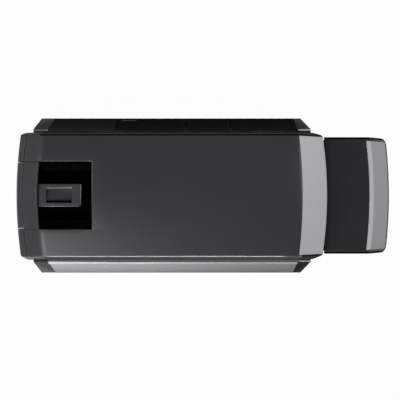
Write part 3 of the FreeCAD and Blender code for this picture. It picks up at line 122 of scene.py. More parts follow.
# %% [markdown]
# ## Floor and light
# The printer stands on a plain white floor under soft studio light. The floor shows white to the camera
# and in reflections, and still takes part of its brightness from the lamps, so that the printer's shadow
# stays. The photograph's left end and front panel are brighter than the right end and the rear, so the key
# lamp stands at the left and in front. Its narrow spread works like a grid in front of a soft box: the light
# fades along the panel. A long thin strip lamp in front draws the bright line along the cover's front edge,
# and two wide lamps from the sides, one far to the right and one nearer at the left, fill in the rest.

# %% White floor
def backdrop_share(tree, amount):
    """How much of a surface is plain white, for the camera and for reflections only."""
    path = add(tree, "ShaderNodeLightPath").outputs
    seen = add(tree, "ShaderNodeMath", {"operation": "ADD"},
               {0: path["Is Camera Ray"], 1: path["Is Glossy Ray"]})
    seen = add(tree, "ShaderNodeMath", {"operation": "ADD", "use_clamp": True},
               {0: seen.outputs[0], 1: path["Is Transmission Ray"]})
    return add(tree, "ShaderNodeMath", {"operation": "MULTIPLY", 1: amount}, {0: seen.outputs[0]}).outputs[0]


floor_paper = bpy.data.materials.new("matt_white_floor_paper")
floor_paper.use_nodes = True
tree = floor_paper.node_tree
paper = tree.nodes["Principled BSDF"]
paper.inputs["Base Color"].default_value = linear("#808080")
paper.inputs["Roughness"].default_value = 0.9
white = add(tree, "ShaderNodeEmission", {"Color": linear("#FFFFFF"), "Strength": 1})
mixed = add(tree, "ShaderNodeMixShader", None,
            {0: backdrop_share(tree, 0.975), 1: paper.outputs[0], 2: white.outputs[0]})
tree.links.new(mixed.outputs[0], tree.nodes["Material Output"].inputs["Surface"])
bpy.ops.object.select_all(action="DESELECT")
bpy.ops.mesh.primitive_plane_add(size=12, location=(0, 0, 0))
floor = bpy.context.object
floor.name = "studio_floor"
floor.data.materials.append(floor_paper)
print("floor", floor.dimensions.x, "m across")

# %% Soft lamps and the room
def soft_lamp(name, place, aim, width, height, power):
    """A rectangular area lamp that points at a spot."""
    lamp = bpy.data.lights.new(name, "AREA")
    lamp.shape = "RECTANGLE"
    lamp.size = width
    lamp.size_y = height
    lamp.energy = power
    holder = bpy.data.objects.new(name, lamp)
    scene.collection.objects.link(holder)
    holder.location = place
    holder.rotation_euler = (Vector(aim) - Vector(place)).to_track_quat("-Z", "Y").to_euler()
    return holder


key = soft_lamp("key_lamp_left_front", (-0.40, -0.40, 0.62), (-0.20, -0.07, 0.15), 0.30, 0.30, 0.92)
key.data.spread = math.radians(76)
soft_lamp("strip_lamp_front", (-0.40, -0.90, 0.65), (-0.40, -0.069, 0.211), 1.10, 0.04, 2.4)
soft_lamp("fill_lamp_right", (1.30, 0.45, 1.20), (0.13, 0, 0.17), 0.8, 0.8, 23.5)
soft_lamp("fill_lamp_left", (-1.20, 0.25, 0.90), (-0.20, 0, 0.18), 0.6, 0.6, 6)
room = bpy.data.worlds.new("white_room")
scene.world = room
room.use_nodes = True
tree = room.node_tree
light = tree.nodes["Background"]
light.inputs["Color"].default_value = linear("#F2F3F5")
light.inputs["Strength"].default_value = 0.09
white = add(tree, "ShaderNodeBackground", {"Color": linear("#FFFFFF"), "Strength": 1})
mixed = add(tree, "ShaderNodeMixShader", None,
            {0: backdrop_share(tree, 1), 1: light.outputs[0], 2: white.outputs[0]})
tree.links.new(mixed.outputs[0], tree.nodes["World Output"].inputs["Surface"])
scene.view_settings.view_transform = "Standard"
print("lamps", [item.name for item in bpy.data.lights])

# %% [markdown]
# ## Charcoal ABS, moulded with a spark-eroded texture
# The cover, the door, the lid and the base are injection-moulded ABS. The mould was textured by spark
# erosion, so the skin is an even dark grey that breaks up reflections: satin, never glossy, with a grain of
# about half a millimetre. The grain could be modelled, but bump from noise costs nothing. A slow second
# noise keeps a large face from looking painted in one tone. Along some edges and rims the mould was left
# smoother, and there the same plastic shines.

# %% Noise, tones and bump for any finish
def grain(tree, at, size, detail=2.0, roughness=0.5):
    """Noise whose lumps are about so many millimetres across."""
    return add(tree, "ShaderNodeTexNoise", {"Scale": 1 / (size * MM), "Detail": detail, "Roughness": roughness},
               {"Vector": at}).outputs["Fac"]


def spread(tree, value, low, high):
    """A noise's usual range stretched to run from low to high."""
    return add(tree, "ShaderNodeMapRange", {"From Min": 0.3, "From Max": 0.7, "To Min": low, "To Max": high},
               {"Value": value}).outputs["Result"]


def tones(tree, value, dark, pale):
    """A noise's usual range as a run of colour from dark to pale."""
    ramp = add(tree, "ShaderNodeValToRGB", None, {"Fac": value})
    for stop, place, code in zip(ramp.color_ramp.elements, (0.3, 0.7), (dark, pale)):
        stop.position = place
        stop.color = linear(code)
    return ramp.outputs["Color"]


def raise_grain(tree, shader, value, depth, strength):
    """Bump of a depth in millimetres on a shader."""
    bump = add(tree, "ShaderNodeBump", {"Strength": strength, "Distance": depth * MM}, {"Height": value})
    tree.links.new(bump.outputs["Normal"], shader.inputs["Normal"])


def moulded(name, dark, pale, rough, gloss, size, depth):
    """Textured moulded plastic: grain in its bump and gloss, slow clouding in its colour."""
    made, tree, shader, at = start_finish(name, IOR=1.53, Specular_IOR_Level=gloss)
    fine = grain(tree, at, size)
    tree.links.new(tones(tree, grain(tree, at, 45, 3), dark, pale), shader.inputs["Base Color"])
    tree.links.new(spread(tree, fine, rough - 0.06, rough + 0.06), shader.inputs["Roughness"])
    raise_grain(tree, shader, fine, depth, 0.35)
    return made


print("noise scale of a 1.6 mm grain", round(1 / (1.6 * MM)))

# %% Charcoal and black mouldings
# The real grain is 0.5 mm; 1.6 mm still shows where a pixel covers more than a millimetre.
# Spark-eroded skin: a soft satin grey. Polished edge: a thin bright line. Semi-polished rim: a fainter line.
charcoal_abs = moulded("charcoal_abs_spark_textured", "#191A1C", "#1D1E20", 0.43, 0.24, 1.6, 0.05)
charcoal_land = moulded("charcoal_abs_polished_edge", "#191A1C", "#1D1E20", 0.10, 1.00, 1.6, 0.001)
charcoal_rim = moulded("charcoal_abs_semi_polished_rim", "#191A1C", "#1D1E20", 0.25, 0.34, 1.6, 0.01)
# Paler grey for the ticks at the door's foot.
pale_tick_abs = moulded("charcoal_abs_pale_tick", "#77787A", "#838486", 0.45, 0.20, 1.2, 0.02)
# Deeper and coarser textures scatter more: a duller grey, then no gloss at all on upright walls.
charcoal_lid = moulded("charcoal_abs_deep_textured", "#191A1C", "#1D1E20", 0.48, 0.12, 1.6, 0.06)
charcoal_matt = moulded("charcoal_abs_coarse_textured", "#1C1D1F", "#212224", 0.70, 0.04, 1.8, 0.08)
# The coarse texture painted darker as painted shade, for shoulders and ends that face away from the lamps.
charcoal_painted_shade = moulded("charcoal_abs_coarse_painted_shade", "#121314", "#151617", 0.70, 0.02, 1.8, 0.08)
# Black ABS painted near pure black and almost without gloss as painted shade, for the deep hopper, the lid's
# sides and the tab's slot; the rear panel's black is a little greyer.
shade_black_abs = moulded("black_abs_near_black_painted_shade", "#030303", "#050505", 0.70, 0.004, 1.4, 0.05)
panel_abs = moulded("black_abs_side_panel_textured", "#1B1B1C", "#1F1F20", 0.75, 0, 1.4, 0.05)
# The rear panel's left part is painted a little paler, as painted light from the lamps at the left.
panel_abs_left_lit = moulded("black_abs_side_panel_painted_light", "#272728", "#2B2B2C", 0.75, 0, 1.4, 0.05)
# Fine satin that shows a faint sheen on the finger tab.
grip_abs = moulded("dark_grey_abs_fine_satin", "#1D1E21", "#222326", 0.36, 0.26, 1.2, 0.03)
# Moulding resin: dark, with clear highlights on chips and rear fittings.
component_resin = moulded("black_epoxy_moulding_resin", "#141516", "#1B1C1E", 0.50, 0.50, 1.0, 0.02)
print("moulded plastics", charcoal_abs.name, shade_black_abs.name, grip_abs.name)

# %% [markdown]
# ## Silver paint on ABS
# The end bands and the front panel are sprayed with silver paint: aluminium flakes in clear lacquer. That
# gives an even light grey with a soft sheen and a sparkle that is only just visible. Flakes are under a
# tenth of a millimetre, so they are drawn as cells of 1.2 mm with very little contrast.

# %% Silver flake paint
def sprayed(name, dark, pale, gloss):
    """Silver paint: faint flakes in its colour, a slow change of gloss, and a little orange peel."""
    made, tree, shader, at = start_finish(name, IOR=1.5, Specular_IOR_Level=gloss)
    flakes = add(tree, "ShaderNodeTexVoronoi", {"Scale": 1 / (1.2 * MM)}, {"Vector": at}).outputs["Color"]
    tree.links.new(tones(tree, flakes, dark, pale), shader.inputs["Base Color"])
    tree.links.new(spread(tree, grain(tree, at, 2.5), 0.50, 0.60), shader.inputs["Roughness"])
    raise_grain(tree, shader, grain(tree, at, 1.5), 0.01, 0.08)
    return made


# One paint, four looks: plain, darker as painted shade on the lid band's slope, without sheen, and paler as a
# painted highlight on the panel's top edge.
silver_paint = sprayed("silver_flake_paint_sprayed", "#ABACAE", "#AFB0B2", 0.01)
silver_paint_shaded = sprayed("silver_flake_paint_painted_shade", "#8F9092", "#939496", 0.01)
silver_paint_matt = sprayed("silver_flake_paint_matt_lacquer", "#ABACAE", "#AFB0B2", 0)
silver_paint_highlight = sprayed("silver_flake_paint_painted_highlight", "#CACBCD", "#D0D1D3", 0.3)
print("paint", silver_paint.name)

# %% [markdown]
# ## Metals inside the printer
# The chassis plates are zinc-plated sheet, the shafts are turned steel, the heat sink is milled aluminium
# and the bearings are sintered bronze. Bare metal takes its whole colour from its reflection, so what
# tells them apart is tint, gloss and the direction of the tool marks: stretched noise draws those marks.

# %% Zinc, bronze and aluminium
def metal(name, dark, pale, rough, stretch):
    """Bare metal with tool marks: noise stretched by a scale along each axis."""
    made, tree, shader, at = start_finish(name, Metallic=1.0)
    run = add(tree, "ShaderNodeMapping", {"Scale": stretch}, {"Vector": at}).outputs["Vector"]
    marks = grain(tree, run, 1.5, 3)
    tree.links.new(tones(tree, grain(tree, at, 14, 3), dark, pale), shader.inputs["Base Color"])
    tree.links.new(spread(tree, marks, rough - 0.07, rough + 0.07), shader.inputs["Roughness"])
    raise_grain(tree, shader, marks, 0.02, 0.25)
    return made


# Rolled zinc: cool, with long faint streaks. Bronze: warm and oily. Milled aluminium: bright, cross-cut.
zinc_steel = metal("zinc_plated_steel_rolled", "#A9ADB1", "#BCC0C3", 0.34, (0.08, 1, 1))
sintered_bronze = metal("sintered_bronze_oiled", "#8F6B3C", "#A67F4B", 0.42, (1, 1, 1))
milled_aluminium = metal("aluminium_milled", "#C2C4C6", "#D0D2D4", 0.30, (1, 0.06, 1))
print("metals", zinc_steel.name, sintered_bronze.name, milled_aluminium.name)

# %% [markdown]
# ## Rubber, acetal, ceramic and board laminate
# Feed rollers are ground rubber, matt with fine rings round them. Gears and pulleys are white acetal, a
# waxy plastic that lets a little light in. The print head is a glazed ceramic strip, and the circuit board
# is green-lacquered glass laminate with tracks that show as slightly paler lines.

# %% Rubber and acetal
# Ground rubber gives no highlight, only faint rings. Acetal glows a little, like wax.
roller_rubber, tree, shader, at = start_finish("black_rubber_ground", IOR=1.52)
run = add(tree, "ShaderNodeMapping", {"Scale": (0.1, 1, 0.1)}, {"Vector": at}).outputs["Vector"]
rings = grain(tree, run, 0.8, 3)
tree.links.new(tones(tree, grain(tree, at, 6, 3), "#151516", "#1E1E1F"), shader.inputs["Base Color"])
tree.links.new(spread(tree, rings, 0.66, 0.82), shader.inputs["Roughness"])
raise_grain(tree, shader, rings, 0.04, 0.4)

white_acetal, tree, shader, at = start_finish("white_acetal_moulded", IOR=1.48)
shader.inputs["Subsurface Weight"].default_value = 0.12
shader.inputs["Subsurface Radius"].default_value = (0.002, 0.002, 0.0016)
tree.links.new(tones(tree, grain(tree, at, 9, 2), "#BFBDB4", "#CAC8C0"), shader.inputs["Base Color"])
tree.links.new(spread(tree, grain(tree, at, 1.2), 0.30, 0.42), shader.inputs["Roughness"])
raise_grain(tree, shader, grain(tree, at, 1.2), 0.02, 0.15)
print("rubber and acetal", roller_rubber.name, white_acetal.name)

# %% Ceramic and board laminate
# The glaze gives a sharp highlight on cream; lacquer gives the board a wet green with paler tracks.
glazed_ceramic, tree, shader, at = start_finish("glazed_alumina_ceramic", IOR=1.6)
tree.links.new(tones(tree, grain(tree, at, 5, 2), "#CFC4AE", "#DCD3C0"), shader.inputs["Base Color"])
tree.links.new(spread(tree, grain(tree, at, 3), 0.14, 0.24), shader.inputs["Roughness"])

board_laminate, tree, shader, at = start_finish("green_lacquered_glass_laminate", IOR=1.52)
tracks = add(tree, "ShaderNodeTexBrick", {"Scale": 1 / (12 * MM), "Mortar Size": 0.035, "Brick Width": 0.9,
                                          "Color1": linear("#0D4A2B"), "Color2": linear("#0F5230"),
                                          "Mortar": linear("#2C7A4B")}, {"Vector": at})
tree.links.new(tracks.outputs["Color"], shader.inputs["Base Color"])
tree.links.new(spread(tree, grain(tree, at, 4), 0.26, 0.36), shader.inputs["Roughness"])
raise_grain(tree, shader, tracks.outputs["Fac"], 0.05, 0.3)
print("ceramic and laminate", glazed_ceramic.name, board_laminate.name)

# %% [markdown]
# ## Finishes on the CAD nodes
# The record names each node's material by a slot, and every slot is swapped for the finish made above. Most
# nodes are replaced later by a modelled piece or a softened copy, which takes its finish from the same slot
# unless the step says otherwise.

# %% Dress every CAD node
# The black_plastic slot takes the near-black finish, painted shade for the hopper's depth.
FINISHES = {
    "charcoal_plastic": charcoal_abs, "silver_plastic": silver_paint, "black_plastic": shade_black_abs,
    "handle_plastic": grip_abs, "acetal_plastic": white_acetal, "zinc_steel": zinc_steel,
    "bronze": sintered_bronze, "roller_rubber": roller_rubber, "head_aluminium": milled_aluminium,
    "head_ceramic": glazed_ceramic, "board_laminate": board_laminate, "component_black": component_resin,
}
SLOT_OF = {entry["node"]: entry["material_slot"] for entry in frame["record"]["subparts"]}
for name, item in frame["nodes"].items():
    item.data.materials.clear()
    item.data.materials.append(FINISHES[SLOT_OF[name]])
print(len(SLOT_OF), "nodes dressed in", len(FINISHES), "finishes")

# %% [markdown]
# ## Cover, door and silver band from one skin
# On the real printer the cover, the input door and the silver end band share one smooth outer form, split
# by parting lines. Modelled apart, they would never lie flush. So one grid is laid over the whole form
# first, with grid lines along every parting line, and is then cut into the three pieces. The form is a
# broad crown across, a bowed slope at the left end and a steeper bowed slope at the right.

# %% Select by place, and apply a modifier
def clear():
    """Leave edit mode and deselect everything, so that an operator touches only what comes next."""
    if bpy.context.object and bpy.context.object.mode != "OBJECT":
        bpy.ops.object.mode_set(mode="OBJECT")
    bpy.ops.object.select_all(action="DESELECT")


def take(piece):
    """Make one piece the only selected one, and the active one."""
    clear()
    piece.select_set(True)
    bpy.context.view_layer.objects.active = piece
    return piece


def choose(piece, rule, kind="FACE"):
    """Enter edit mode with the faces or edges selected whose middle, in millimetres, the rule accepts."""
    take(piece)
    bpy.ops.object.mode_set(mode="EDIT")
    bpy.ops.mesh.select_mode(type=kind)
    bpy.ops.mesh.select_all(action="DESELECT")
    bpy.ops.object.mode_set(mode="OBJECT")
    points = piece.data.vertices
    for part in piece.data.polygons if kind == "FACE" else piece.data.edges:
        middle = sum((points[index].co for index in part.vertices), Vector()) / len(part.vertices)
        part.select = bool(rule(*(middle / MM)))
    bpy.ops.object.mode_set(mode="EDIT")


def apply_modifier(piece, kind, **settings):
    """Add one modifier to a piece, set it up and apply it."""
    take(piece)
    modifier = piece.modifiers.new(kind.lower(), kind)
    for key, value in settings.items():
        setattr(modifier, key, value)
    bpy.ops.object.modifier_apply(modifier=modifier.name)


# %% The cover's form in millimetres
RIM_Z, TOP_Z, FOOT_Z, BAND_FOOT_Z = 118.5, 224, 200, 165
CREASE_X, LEFT_X, FLAT_X, RIGHT_X, PIT_X = -190, -217, 107.4, 139, -130
DOOR_HALF, WINDOW_HALF, BAND_HALF, EXIT_HALF, NOTCH_HALF = 37.8, 38.3, 67.5, 29, 13.3
NOTCH_X, DOOR_TOP_X = -192.3, -191.6
GROOVE_COLUMN, GROOVE_DEPTH = 0.285, 0.9
CROWN_RADIUS = 201.5
LEFT_BOW, CREASE_BOW, BAND_BOW, RIGHT_BOW = 4, 5, 3.3, 5
HINGE_X = (-120, 70)
# The rounded shoulder: distance from the middle, fall below the top, and how far the corners draw in
SHOULDER = {67.5: (11.6, 0), 68.2: (11.87, 0.5), 68.4: (11.97, 0.7), 68.55: (12.06, 0.8), 69.35: (12.54, 1.5),
            69.5: (12.63, 1.7), 69.75: (13, 2), 69.9: (14.2, 2.3), 70: (16, 2.6)}


def crown_fall(y):
    """How far the cover's top lies below its ridge."""
    beyond = [edge for edge in SHOULDER if edge >= abs(y)]
    if abs(y) <= BAND_HALF or not beyond:
        return CROWN_RADIUS - math.sqrt(CROWN_RADIUS ** 2 - y * y)
    inner, outer = max(edge for edge in SHOULDER if edge < abs(y)), beyond[0]
    share = (abs(y) - inner) / (outer - inner)
    return SHOULDER[inner][0] + share * (SHOULDER[outer][0] - SHOULDER[inner][0])


def draw_in(y, bow):
    """How far the bowed and rounded end lies inside the middle of that end."""
    return bow * min(1, abs(y) / BAND_HALF) ** 2 + SHOULDER.get(abs(y), (0, 0))[1]


def rounded(distance, reach, before, after):
    """Height of a parabola, above the corner, that rounds a change of slope over a reach each side."""
    if abs(distance) >= reach:
        return before * distance if distance < 0 else after * distance
    return (before + after) / 2 * distance + (after - before) / (4 * reach) * (distance ** 2 + reach ** 2)


print("crown falls", round(crown_fall(BAND_HALF), 2), "mm to the shoulder")

# %% Grid laid over the form
def skin(name, columns, rows, form):
    """A grid whose crossings are moved onto a form: form(column, row) gives a point in millimetres."""
    clear()
    across, along = len(columns) - 1, len(rows) - 1
    bpy.ops.mesh.primitive_grid_add(x_subdivisions=across, y_subdivisions=along, size=1)
    piece = bpy.context.object
    piece.name = name
    for vertex in piece.data.vertices:
        column = columns[round((vertex.co.x + 0.5) * across)]
        row = rows[round((vertex.co.y + 0.5) * along)]
        vertex.co = Vector(form(column, row)) * MM
    return piece


def cover_form(column, y):
    """A point of the cover's skin: columns 0-1 slope, 1-2 beside the pit, 2-3 top, 3-4 silver band."""
    bow = (y / BAND_HALF) ** 2 if abs(y) < BAND_HALF else 1
    knots = [LEFT_X + draw_in(y, LEFT_BOW), CREASE_X + CREASE_BOW * bow, PIT_X, FLAT_X - BAND_BOW * bow,
             RIGHT_X - draw_in(y, RIGHT_BOW)]
    part = min(int(column), 3)
    x = knots[part] + (knots[part + 1] - knots[part]) * (column - part)
    top = TOP_Z - crown_fall(y)
    slope = (top - FOOT_Z + crown_fall(y) / 2) / (knots[1] - knots[0])
    if column < 2:
        sunk = GROOVE_DEPTH if column == GROOVE_COLUMN else 0
        return x, y, top + rounded(x - knots[1], 4.5, slope, 0) - sunk
    steep = (top - BAND_FOOT_Z) / (knots[4] - knots[3])
    return x, y, top + rounded(x - knots[3], 1.2, 0, -steep)


NOTCH_COLUMN = (NOTCH_X - LEFT_X) / (CREASE_X - LEFT_X)
DOOR_COLUMN = (DOOR_TOP_X - LEFT_X) / (CREASE_X - LEFT_X)
COLUMNS = [0, 0.15, 0.26, GROOVE_COLUMN, 0.31, 0.42, 0.55, 0.7, 0.78, 0.84, NOTCH_COLUMN, DOOR_COLUMN]
COLUMNS += [1, 1.03, 1.06, 1.1, 1.25, 1.5, 1.75]
COLUMNS += [2 + step / 12 for step in range(12)] + [2.985, 3, 3.015, 3.04, 3.12, 3.3, 3.5, 3.7, 3.88, 4]
HALF_ROWS = [4.5, 9, NOTCH_HALF, 20, 25, EXIT_HALF, 33, DOOR_HALF, WINDOW_HALF, 43, 48, 53, 58, 63]
HALF_ROWS += list(SHOULDER)
ROWS = [-y for y in reversed(HALF_ROWS)] + [0] + HALF_ROWS
cover = skin("cover_shell", COLUMNS, ROWS, cover_form)
print("skin", len(COLUMNS), "by", len(ROWS), "lines")

# %% [markdown]
# The skin's open edge is extruded down ring by ring to the cover's rim. The sides flare a little, as a
# moulding must to leave its mould, and the right end tucks in under the band as a chin. Rings lie at the
# heights where the door and the card exit are cut later, so those cuts fall on grid lines.

# %% Walls of the cover
CHIN_Z, EXIT_TOP_Z, DOOR_FOOT_Z, PIT_FOOT_Z = 157, 134, 131, 128.2
WALL_TOP_Z, WALL_TOP_HALF = 208, 70


def drop_edge(piece, place):
    """Extrude the open edge of a skin once and move each new point: place(x, y, z) in millimetres."""
    take(piece)
    bpy.ops.object.mode_set(mode="EDIT")
    bpy.ops.mesh.select_mode(type="EDGE")
    bpy.ops.mesh.select_all(action="DESELECT")
    bpy.ops.mesh.select_non_manifold(extend=False, use_wire=False, use_multi_face=False,
                                     use_non_contiguous=False, use_verts=False)
    bpy.ops.mesh.extrude_edges_move()
    bpy.ops.object.mode_set(mode="OBJECT")
    for vertex in piece.data.vertices:
        if vertex.select:
            vertex.co = Vector(place(*(vertex.co / MM))) * MM


def half_width(level, y):
    """Half the cover's width at a height; the front flares more than the rear, which has to swing clear."""
    return WALL_TOP_HALF + (5.9 if y < 0 else 4.3) * (WALL_TOP_Z - level) / (WALL_TOP_Z - RIM_Z)


def chin(level):
    """How far the right end lies behind the band's foot at a height."""
    return 7 + 3 * (CHIN_Z - level) / (CHIN_Z - RIM_Z)


def wall_ring(level, before):
    """A rule that moves the skin's edge from one height, or from the skin itself, to the next."""
    def place(x, y, z):
        grown = (half_width(level, y) - 60) / ((half_width(before, y) if before else WALL_TOP_HALF) - 60) - 1
        back = min(1, max(0, (x - 112) / 17)) * (chin(level) - (chin(before) if before else 0))
        return x - back, y + math.copysign(max(0, abs(y) - 60) * grown, y), level
    return place


LEVELS = [None, CHIN_Z, EXIT_TOP_Z, DOOR_FOOT_Z, PIT_FOOT_Z, RIM_Z]
for before, level in zip(LEVELS, LEVELS[1:]):
    drop_edge(cover, wall_ring(level, before))
choose(cover, lambda x, y, z: x < -206 and abs(y) < BAND_HALF
       and abs(z - FOOT_Z + crown_fall(y) / 2) < 1, "EDGE")
bpy.ops.mesh.bevel(offset=4.5 * MM, segments=5, affect="EDGES")
bpy.ops.object.mode_set(mode="OBJECT")
print("cover skin with walls", len(cover.data.polygons), "faces")

# %% [markdown]
# Now the skin is cut along its lines. The band and the door come away as pieces of their own, the pit's
# opening and the card exit are cleared, and each piece gets its wall thickness inward with Solidify. Last,
# a narrow bevel rounds every sharp edge, because a moulded edge is never a knife edge and its thin
# highlight is what makes the parting lines read.

# %% Cut the skin into pieces
def part_off(piece, name, rule):
    """Separate the faces that the rule accepts into a piece of their own."""
    choose(piece, rule)
    before = set(bpy.data.objects)
    bpy.ops.mesh.separate(type="SELECTED")
    bpy.ops.object.mode_set(mode="OBJECT")
    made = (set(bpy.data.objects) - before).pop()
    made.name = name
    return made


def remove_faces(piece, rule):
    """Delete the faces that the rule accepts."""
    choose(piece, rule)
    bpy.ops.mesh.delete(type="FACE")
    bpy.ops.object.mode_set(mode="OBJECT")


def in_pit(x, y, z):
    """The opening over the card hopper."""
    return abs(y) < WINDOW_HALF and x < PIT_X and z > PIT_FOOT_Z


def in_door(x, y, z):
    """The door, less the notch for the finger tab."""
    notch = abs(y) < NOTCH_HALF and x > NOTCH_X
    top_edge = DOOR_TOP_X + CREASE_BOW * (y / BAND_HALF) ** 2
    return abs(y) < DOOR_HALF and x < top_edge and z > DOOR_FOOT_Z and not notch


band = part_off(cover, "silver_cover_band",
                lambda x, y, z: abs(y) < BAND_HALF and z > BAND_FOOT_Z - 0.5
                and x > FLAT_X - BAND_BOW * (y / BAND_HALF) ** 2)
door = part_off(cover, "input_door_flap", in_door)
remove_faces(cover, in_pit)
remove_faces(cover, lambda x, y, z: x > FLAT_X and abs(y) < EXIT_HALF and z < EXIT_TOP_Z)
for piece, wall in ((cover, 3), (door, 2.6), (band, 2.6)):
    apply_modifier(piece, "SOLIDIFY", thickness=wall * MM, offset=-1)
    print(piece.name, "has a wall of", wall, "mm")

# %% Round the edges and cut the hinge notches
SHARP = math.radians(50)
TICK_X = (-215.5, -207.5)


def block(name, low, high, edge):
    """A cube set to two opposite corners in millimetres, with rounded edges."""
    clear()
    bpy.ops.mesh.primitive_cube_add(size=1)
    made = bpy.context.object
    made.name = name
    for vertex in made.data.vertices:
        vertex.co = [(high if part > 0 else low)[axis] * MM for axis, part in enumerate(vertex.co)]
    if edge:
        apply_modifier(made, "BEVEL", width=edge * MM, segments=3)
    return made


def on_pit_rim(x, y, z):
    """The outer edge of the pit's opening in the top."""
    top = TOP_Z - crown_fall(y) - 0.3
    right = abs(x - PIT_X) < 0.1 and abs(y) < WINDOW_HALF + 0.1
    side = abs(abs(y) - WINDOW_HALF) < 0.1 and CREASE_X + 6 < x < PIT_X + 0.1
    return z > top and (right or side)


def on_door_corner(x, y, z):
    """The outer edge of the door's two sides, over the foot of its slope."""
    return abs(abs(y) - DOOR_HALF) < 0.05 and TICK_X[0] < x < TICK_X[1] and z > 198.2 + 0.81 * (x + 215.7) - 0.8


choose(cover, on_pit_rim, "EDGE")
bpy.ops.mesh.bevel(offset=1.3 * MM, segments=3, affect="EDGES")
choose(door, on_door_corner, "EDGE")
bpy.ops.mesh.bevel(offset=1.2 * MM, segments=2, affect="EDGES")
bpy.ops.object.mode_set(mode="OBJECT")
for middle in HINGE_X:
    cutter = block("hinge_notch", (middle - 20.5, 64, 110), (middle + 20.5, 82, 128.5), 0)
    apply_modifier(cover, "BOOLEAN", operation="DIFFERENCE", solver="EXACT", object=cutter)
    bpy.data.objects.remove(cutter)
for piece, edge in ((cover, 0.45), (door, 0.4), (band, 0.35)):
    apply_modifier(piece, "BEVEL", width=edge * MM, segments=2, limit_method="ANGLE", angle_limit=SHARP)
print("cover, door and band:", len(cover.data.polygons), len(door.data.polygons), len(band.data.polygons))

# %% Dress the three pieces
def settle(piece, nodes, body, slot, finish=None):
    """Smooth a finished piece, give it its slot's finish, and put it in its CAD nodes' place on a body."""
    take(piece)
    bpy.ops.object.shade_smooth_by_angle(angle=math.radians(32))
    piece.data.materials.clear()
    piece.data.materials.append(finish or FINISHES[slot])
    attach(piece, body)
    if nodes:
        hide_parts(*nodes)
    print(piece.name, len(piece.data.polygons), "faces on", body)


def coat_faces(piece, finish, rule):
    """Give the faces that the rule accepts a finish of their own."""
    piece.data.materials.append(finish)
    choose(piece, rule)
    piece.active_material_index = len(piece.data.materials) - 1
    bpy.ops.object.material_slot_assign()
    bpy.ops.object.mode_set(mode="OBJECT")


def on_tick(x, y, z):
    """The bevelled foot of the door's two sides."""
    beside = DOOR_HALF - 1.3 < abs(y) < DOOR_HALF - 0.1 and TICK_X[0] < x < TICK_X[1]
    return beside and z > 197 + 0.81 * (x + 215.7)


SIDE_Y, SIDE_TOP_Z, SHOULDER_Y = 69.8, 207.9, 67.6
settle(cover, ["top_cover"], "cover", "charcoal_plastic")
coat_faces(cover, charcoal_land, lambda x, y, z: -69.5 < y < -68.4 and z > 205)
coat_faces(cover, charcoal_matt, lambda x, y, z: abs(y) > SIDE_Y and z < SIDE_TOP_Z)
# The rear shoulder and the front shoulder beside the band are coated darker as painted shade.
coat_faces(cover, charcoal_painted_shade, lambda x, y, z: y > SHOULDER_Y and x > CREASE_X)
coat_faces(cover, charcoal_painted_shade, lambda x, y, z: y < -SHOULDER_Y and x > FLAT_X)
coat_faces(cover, charcoal_lid, lambda x, y, z: y < -SIDE_Y and x < -186 and 150 < z < SIDE_TOP_Z)
coat_faces(cover, charcoal_abs, lambda x, y, z: y < -SIDE_Y and x < -200 and 150 < z < SIDE_TOP_Z)
coat_faces(cover, charcoal_rim,
           lambda x, y, z: CREASE_X + 6 < x < PIT_X + 1.2 and abs(y) < WINDOW_HALF + 1.2 and z > 213)
settle(door, ["input_door"], "input_door", "charcoal_plastic")
# The bevelled foot of each door side is coated a paler grey.
coat_faces(door, pale_tick_abs, on_tick)
settle(band, ["cover_end_bezel"], "cover", "silver_plastic")


def behind_band(x, y, z):
    """The band's unpainted back."""
    bow, top = (y / BAND_HALF) ** 2, TOP_Z - crown_fall(y)
    flat, right = FLAT_X - BAND_BOW * bow, RIGHT_X - RIGHT_BOW * bow
    return z < top - (top - BAND_FOOT_Z) * (x - flat) / (right - flat) - 1.6


coat_faces(band, charcoal_matt, behind_band)

# %% [markdown]
# ## Output lid and its silver band
# The lid over the output hopper is a second moulding in the same style: a nearly flat top, rounded along
# its sides, that rolls over into a steep silver end. It is laid out as a grid again. The roll at the top
# of the band is wide on purpose: it is what catches the light as a paler stripe beside the flat top.

# %% The lid's form
LID_LEFT, LID_FLAT, LID_RIGHT, LID_TOP, LID_END_Z = 137.5, 189.4, 217, 150, 104
LID_BAND_HALF, LID_BOW, LID_END_BOW, LID_CROWN = 63.5, 3.8, 3.6, 1.6
LID_ROLL, LID_HEM_X, LID_HEM_Z = 8, 181.4, 134
# The rounded side: distance from the middle, fall below the top, and how far the corners draw in
LID_SIDE = {63.5: (0, 0.6), 64.5: (0.05, 1.2), 65.6: (0.3, 2), 66.6: (0.9, 3), 67.4: (1.8, 4.2), 68: (3.5, 6)}


def rolled_fall(run, whole, top):
    """How far the rolled end has fallen after a run: a parabola over the roll, then a straight slope."""
    steep = (top - LID_END_Z) / (whole - LID_ROLL / 2)
    return steep * run * run / (2 * LID_ROLL) if run < LID_ROLL else steep * (run - LID_ROLL / 2)


def lid_form(column, y):
    """A point of the lid's skin: columns 0-1 flat top, 1-2 rolled end."""
    bow = min(1, abs(y) / LID_BAND_HALF) ** 2
    fall, corner = LID_SIDE.get(abs(y), (0, 0))
    flat, right = LID_FLAT - LID_BOW * bow, LID_RIGHT - LID_END_BOW * bow - corner
    top = LID_TOP - LID_CROWN * bow - fall
    if column <= 1:
        return LID_LEFT + (flat - LID_LEFT) * column, y, top
    run = (right - flat) * (column - 1)
    return flat + run, y, top - rolled_fall(run, right - flat, top)


LID_COLUMNS = [step / 6 for step in range(6)] + [0.985, 1, 1.05, 1.1, 1.15, 1.2, 1.25, 1.3]
LID_COLUMNS += [1.45, 1.6, 1.8, 1.955, 2]
LID_HALF_ROWS = [8, 16, 24, 32, 40, 48, 56, 60] + list(LID_SIDE)
LID_ROWS = [-y for y in reversed(LID_HALF_ROWS)] + [0] + LID_HALF_ROWS
lid = skin("output_lid_shell", LID_COLUMNS, LID_ROWS, lid_form)


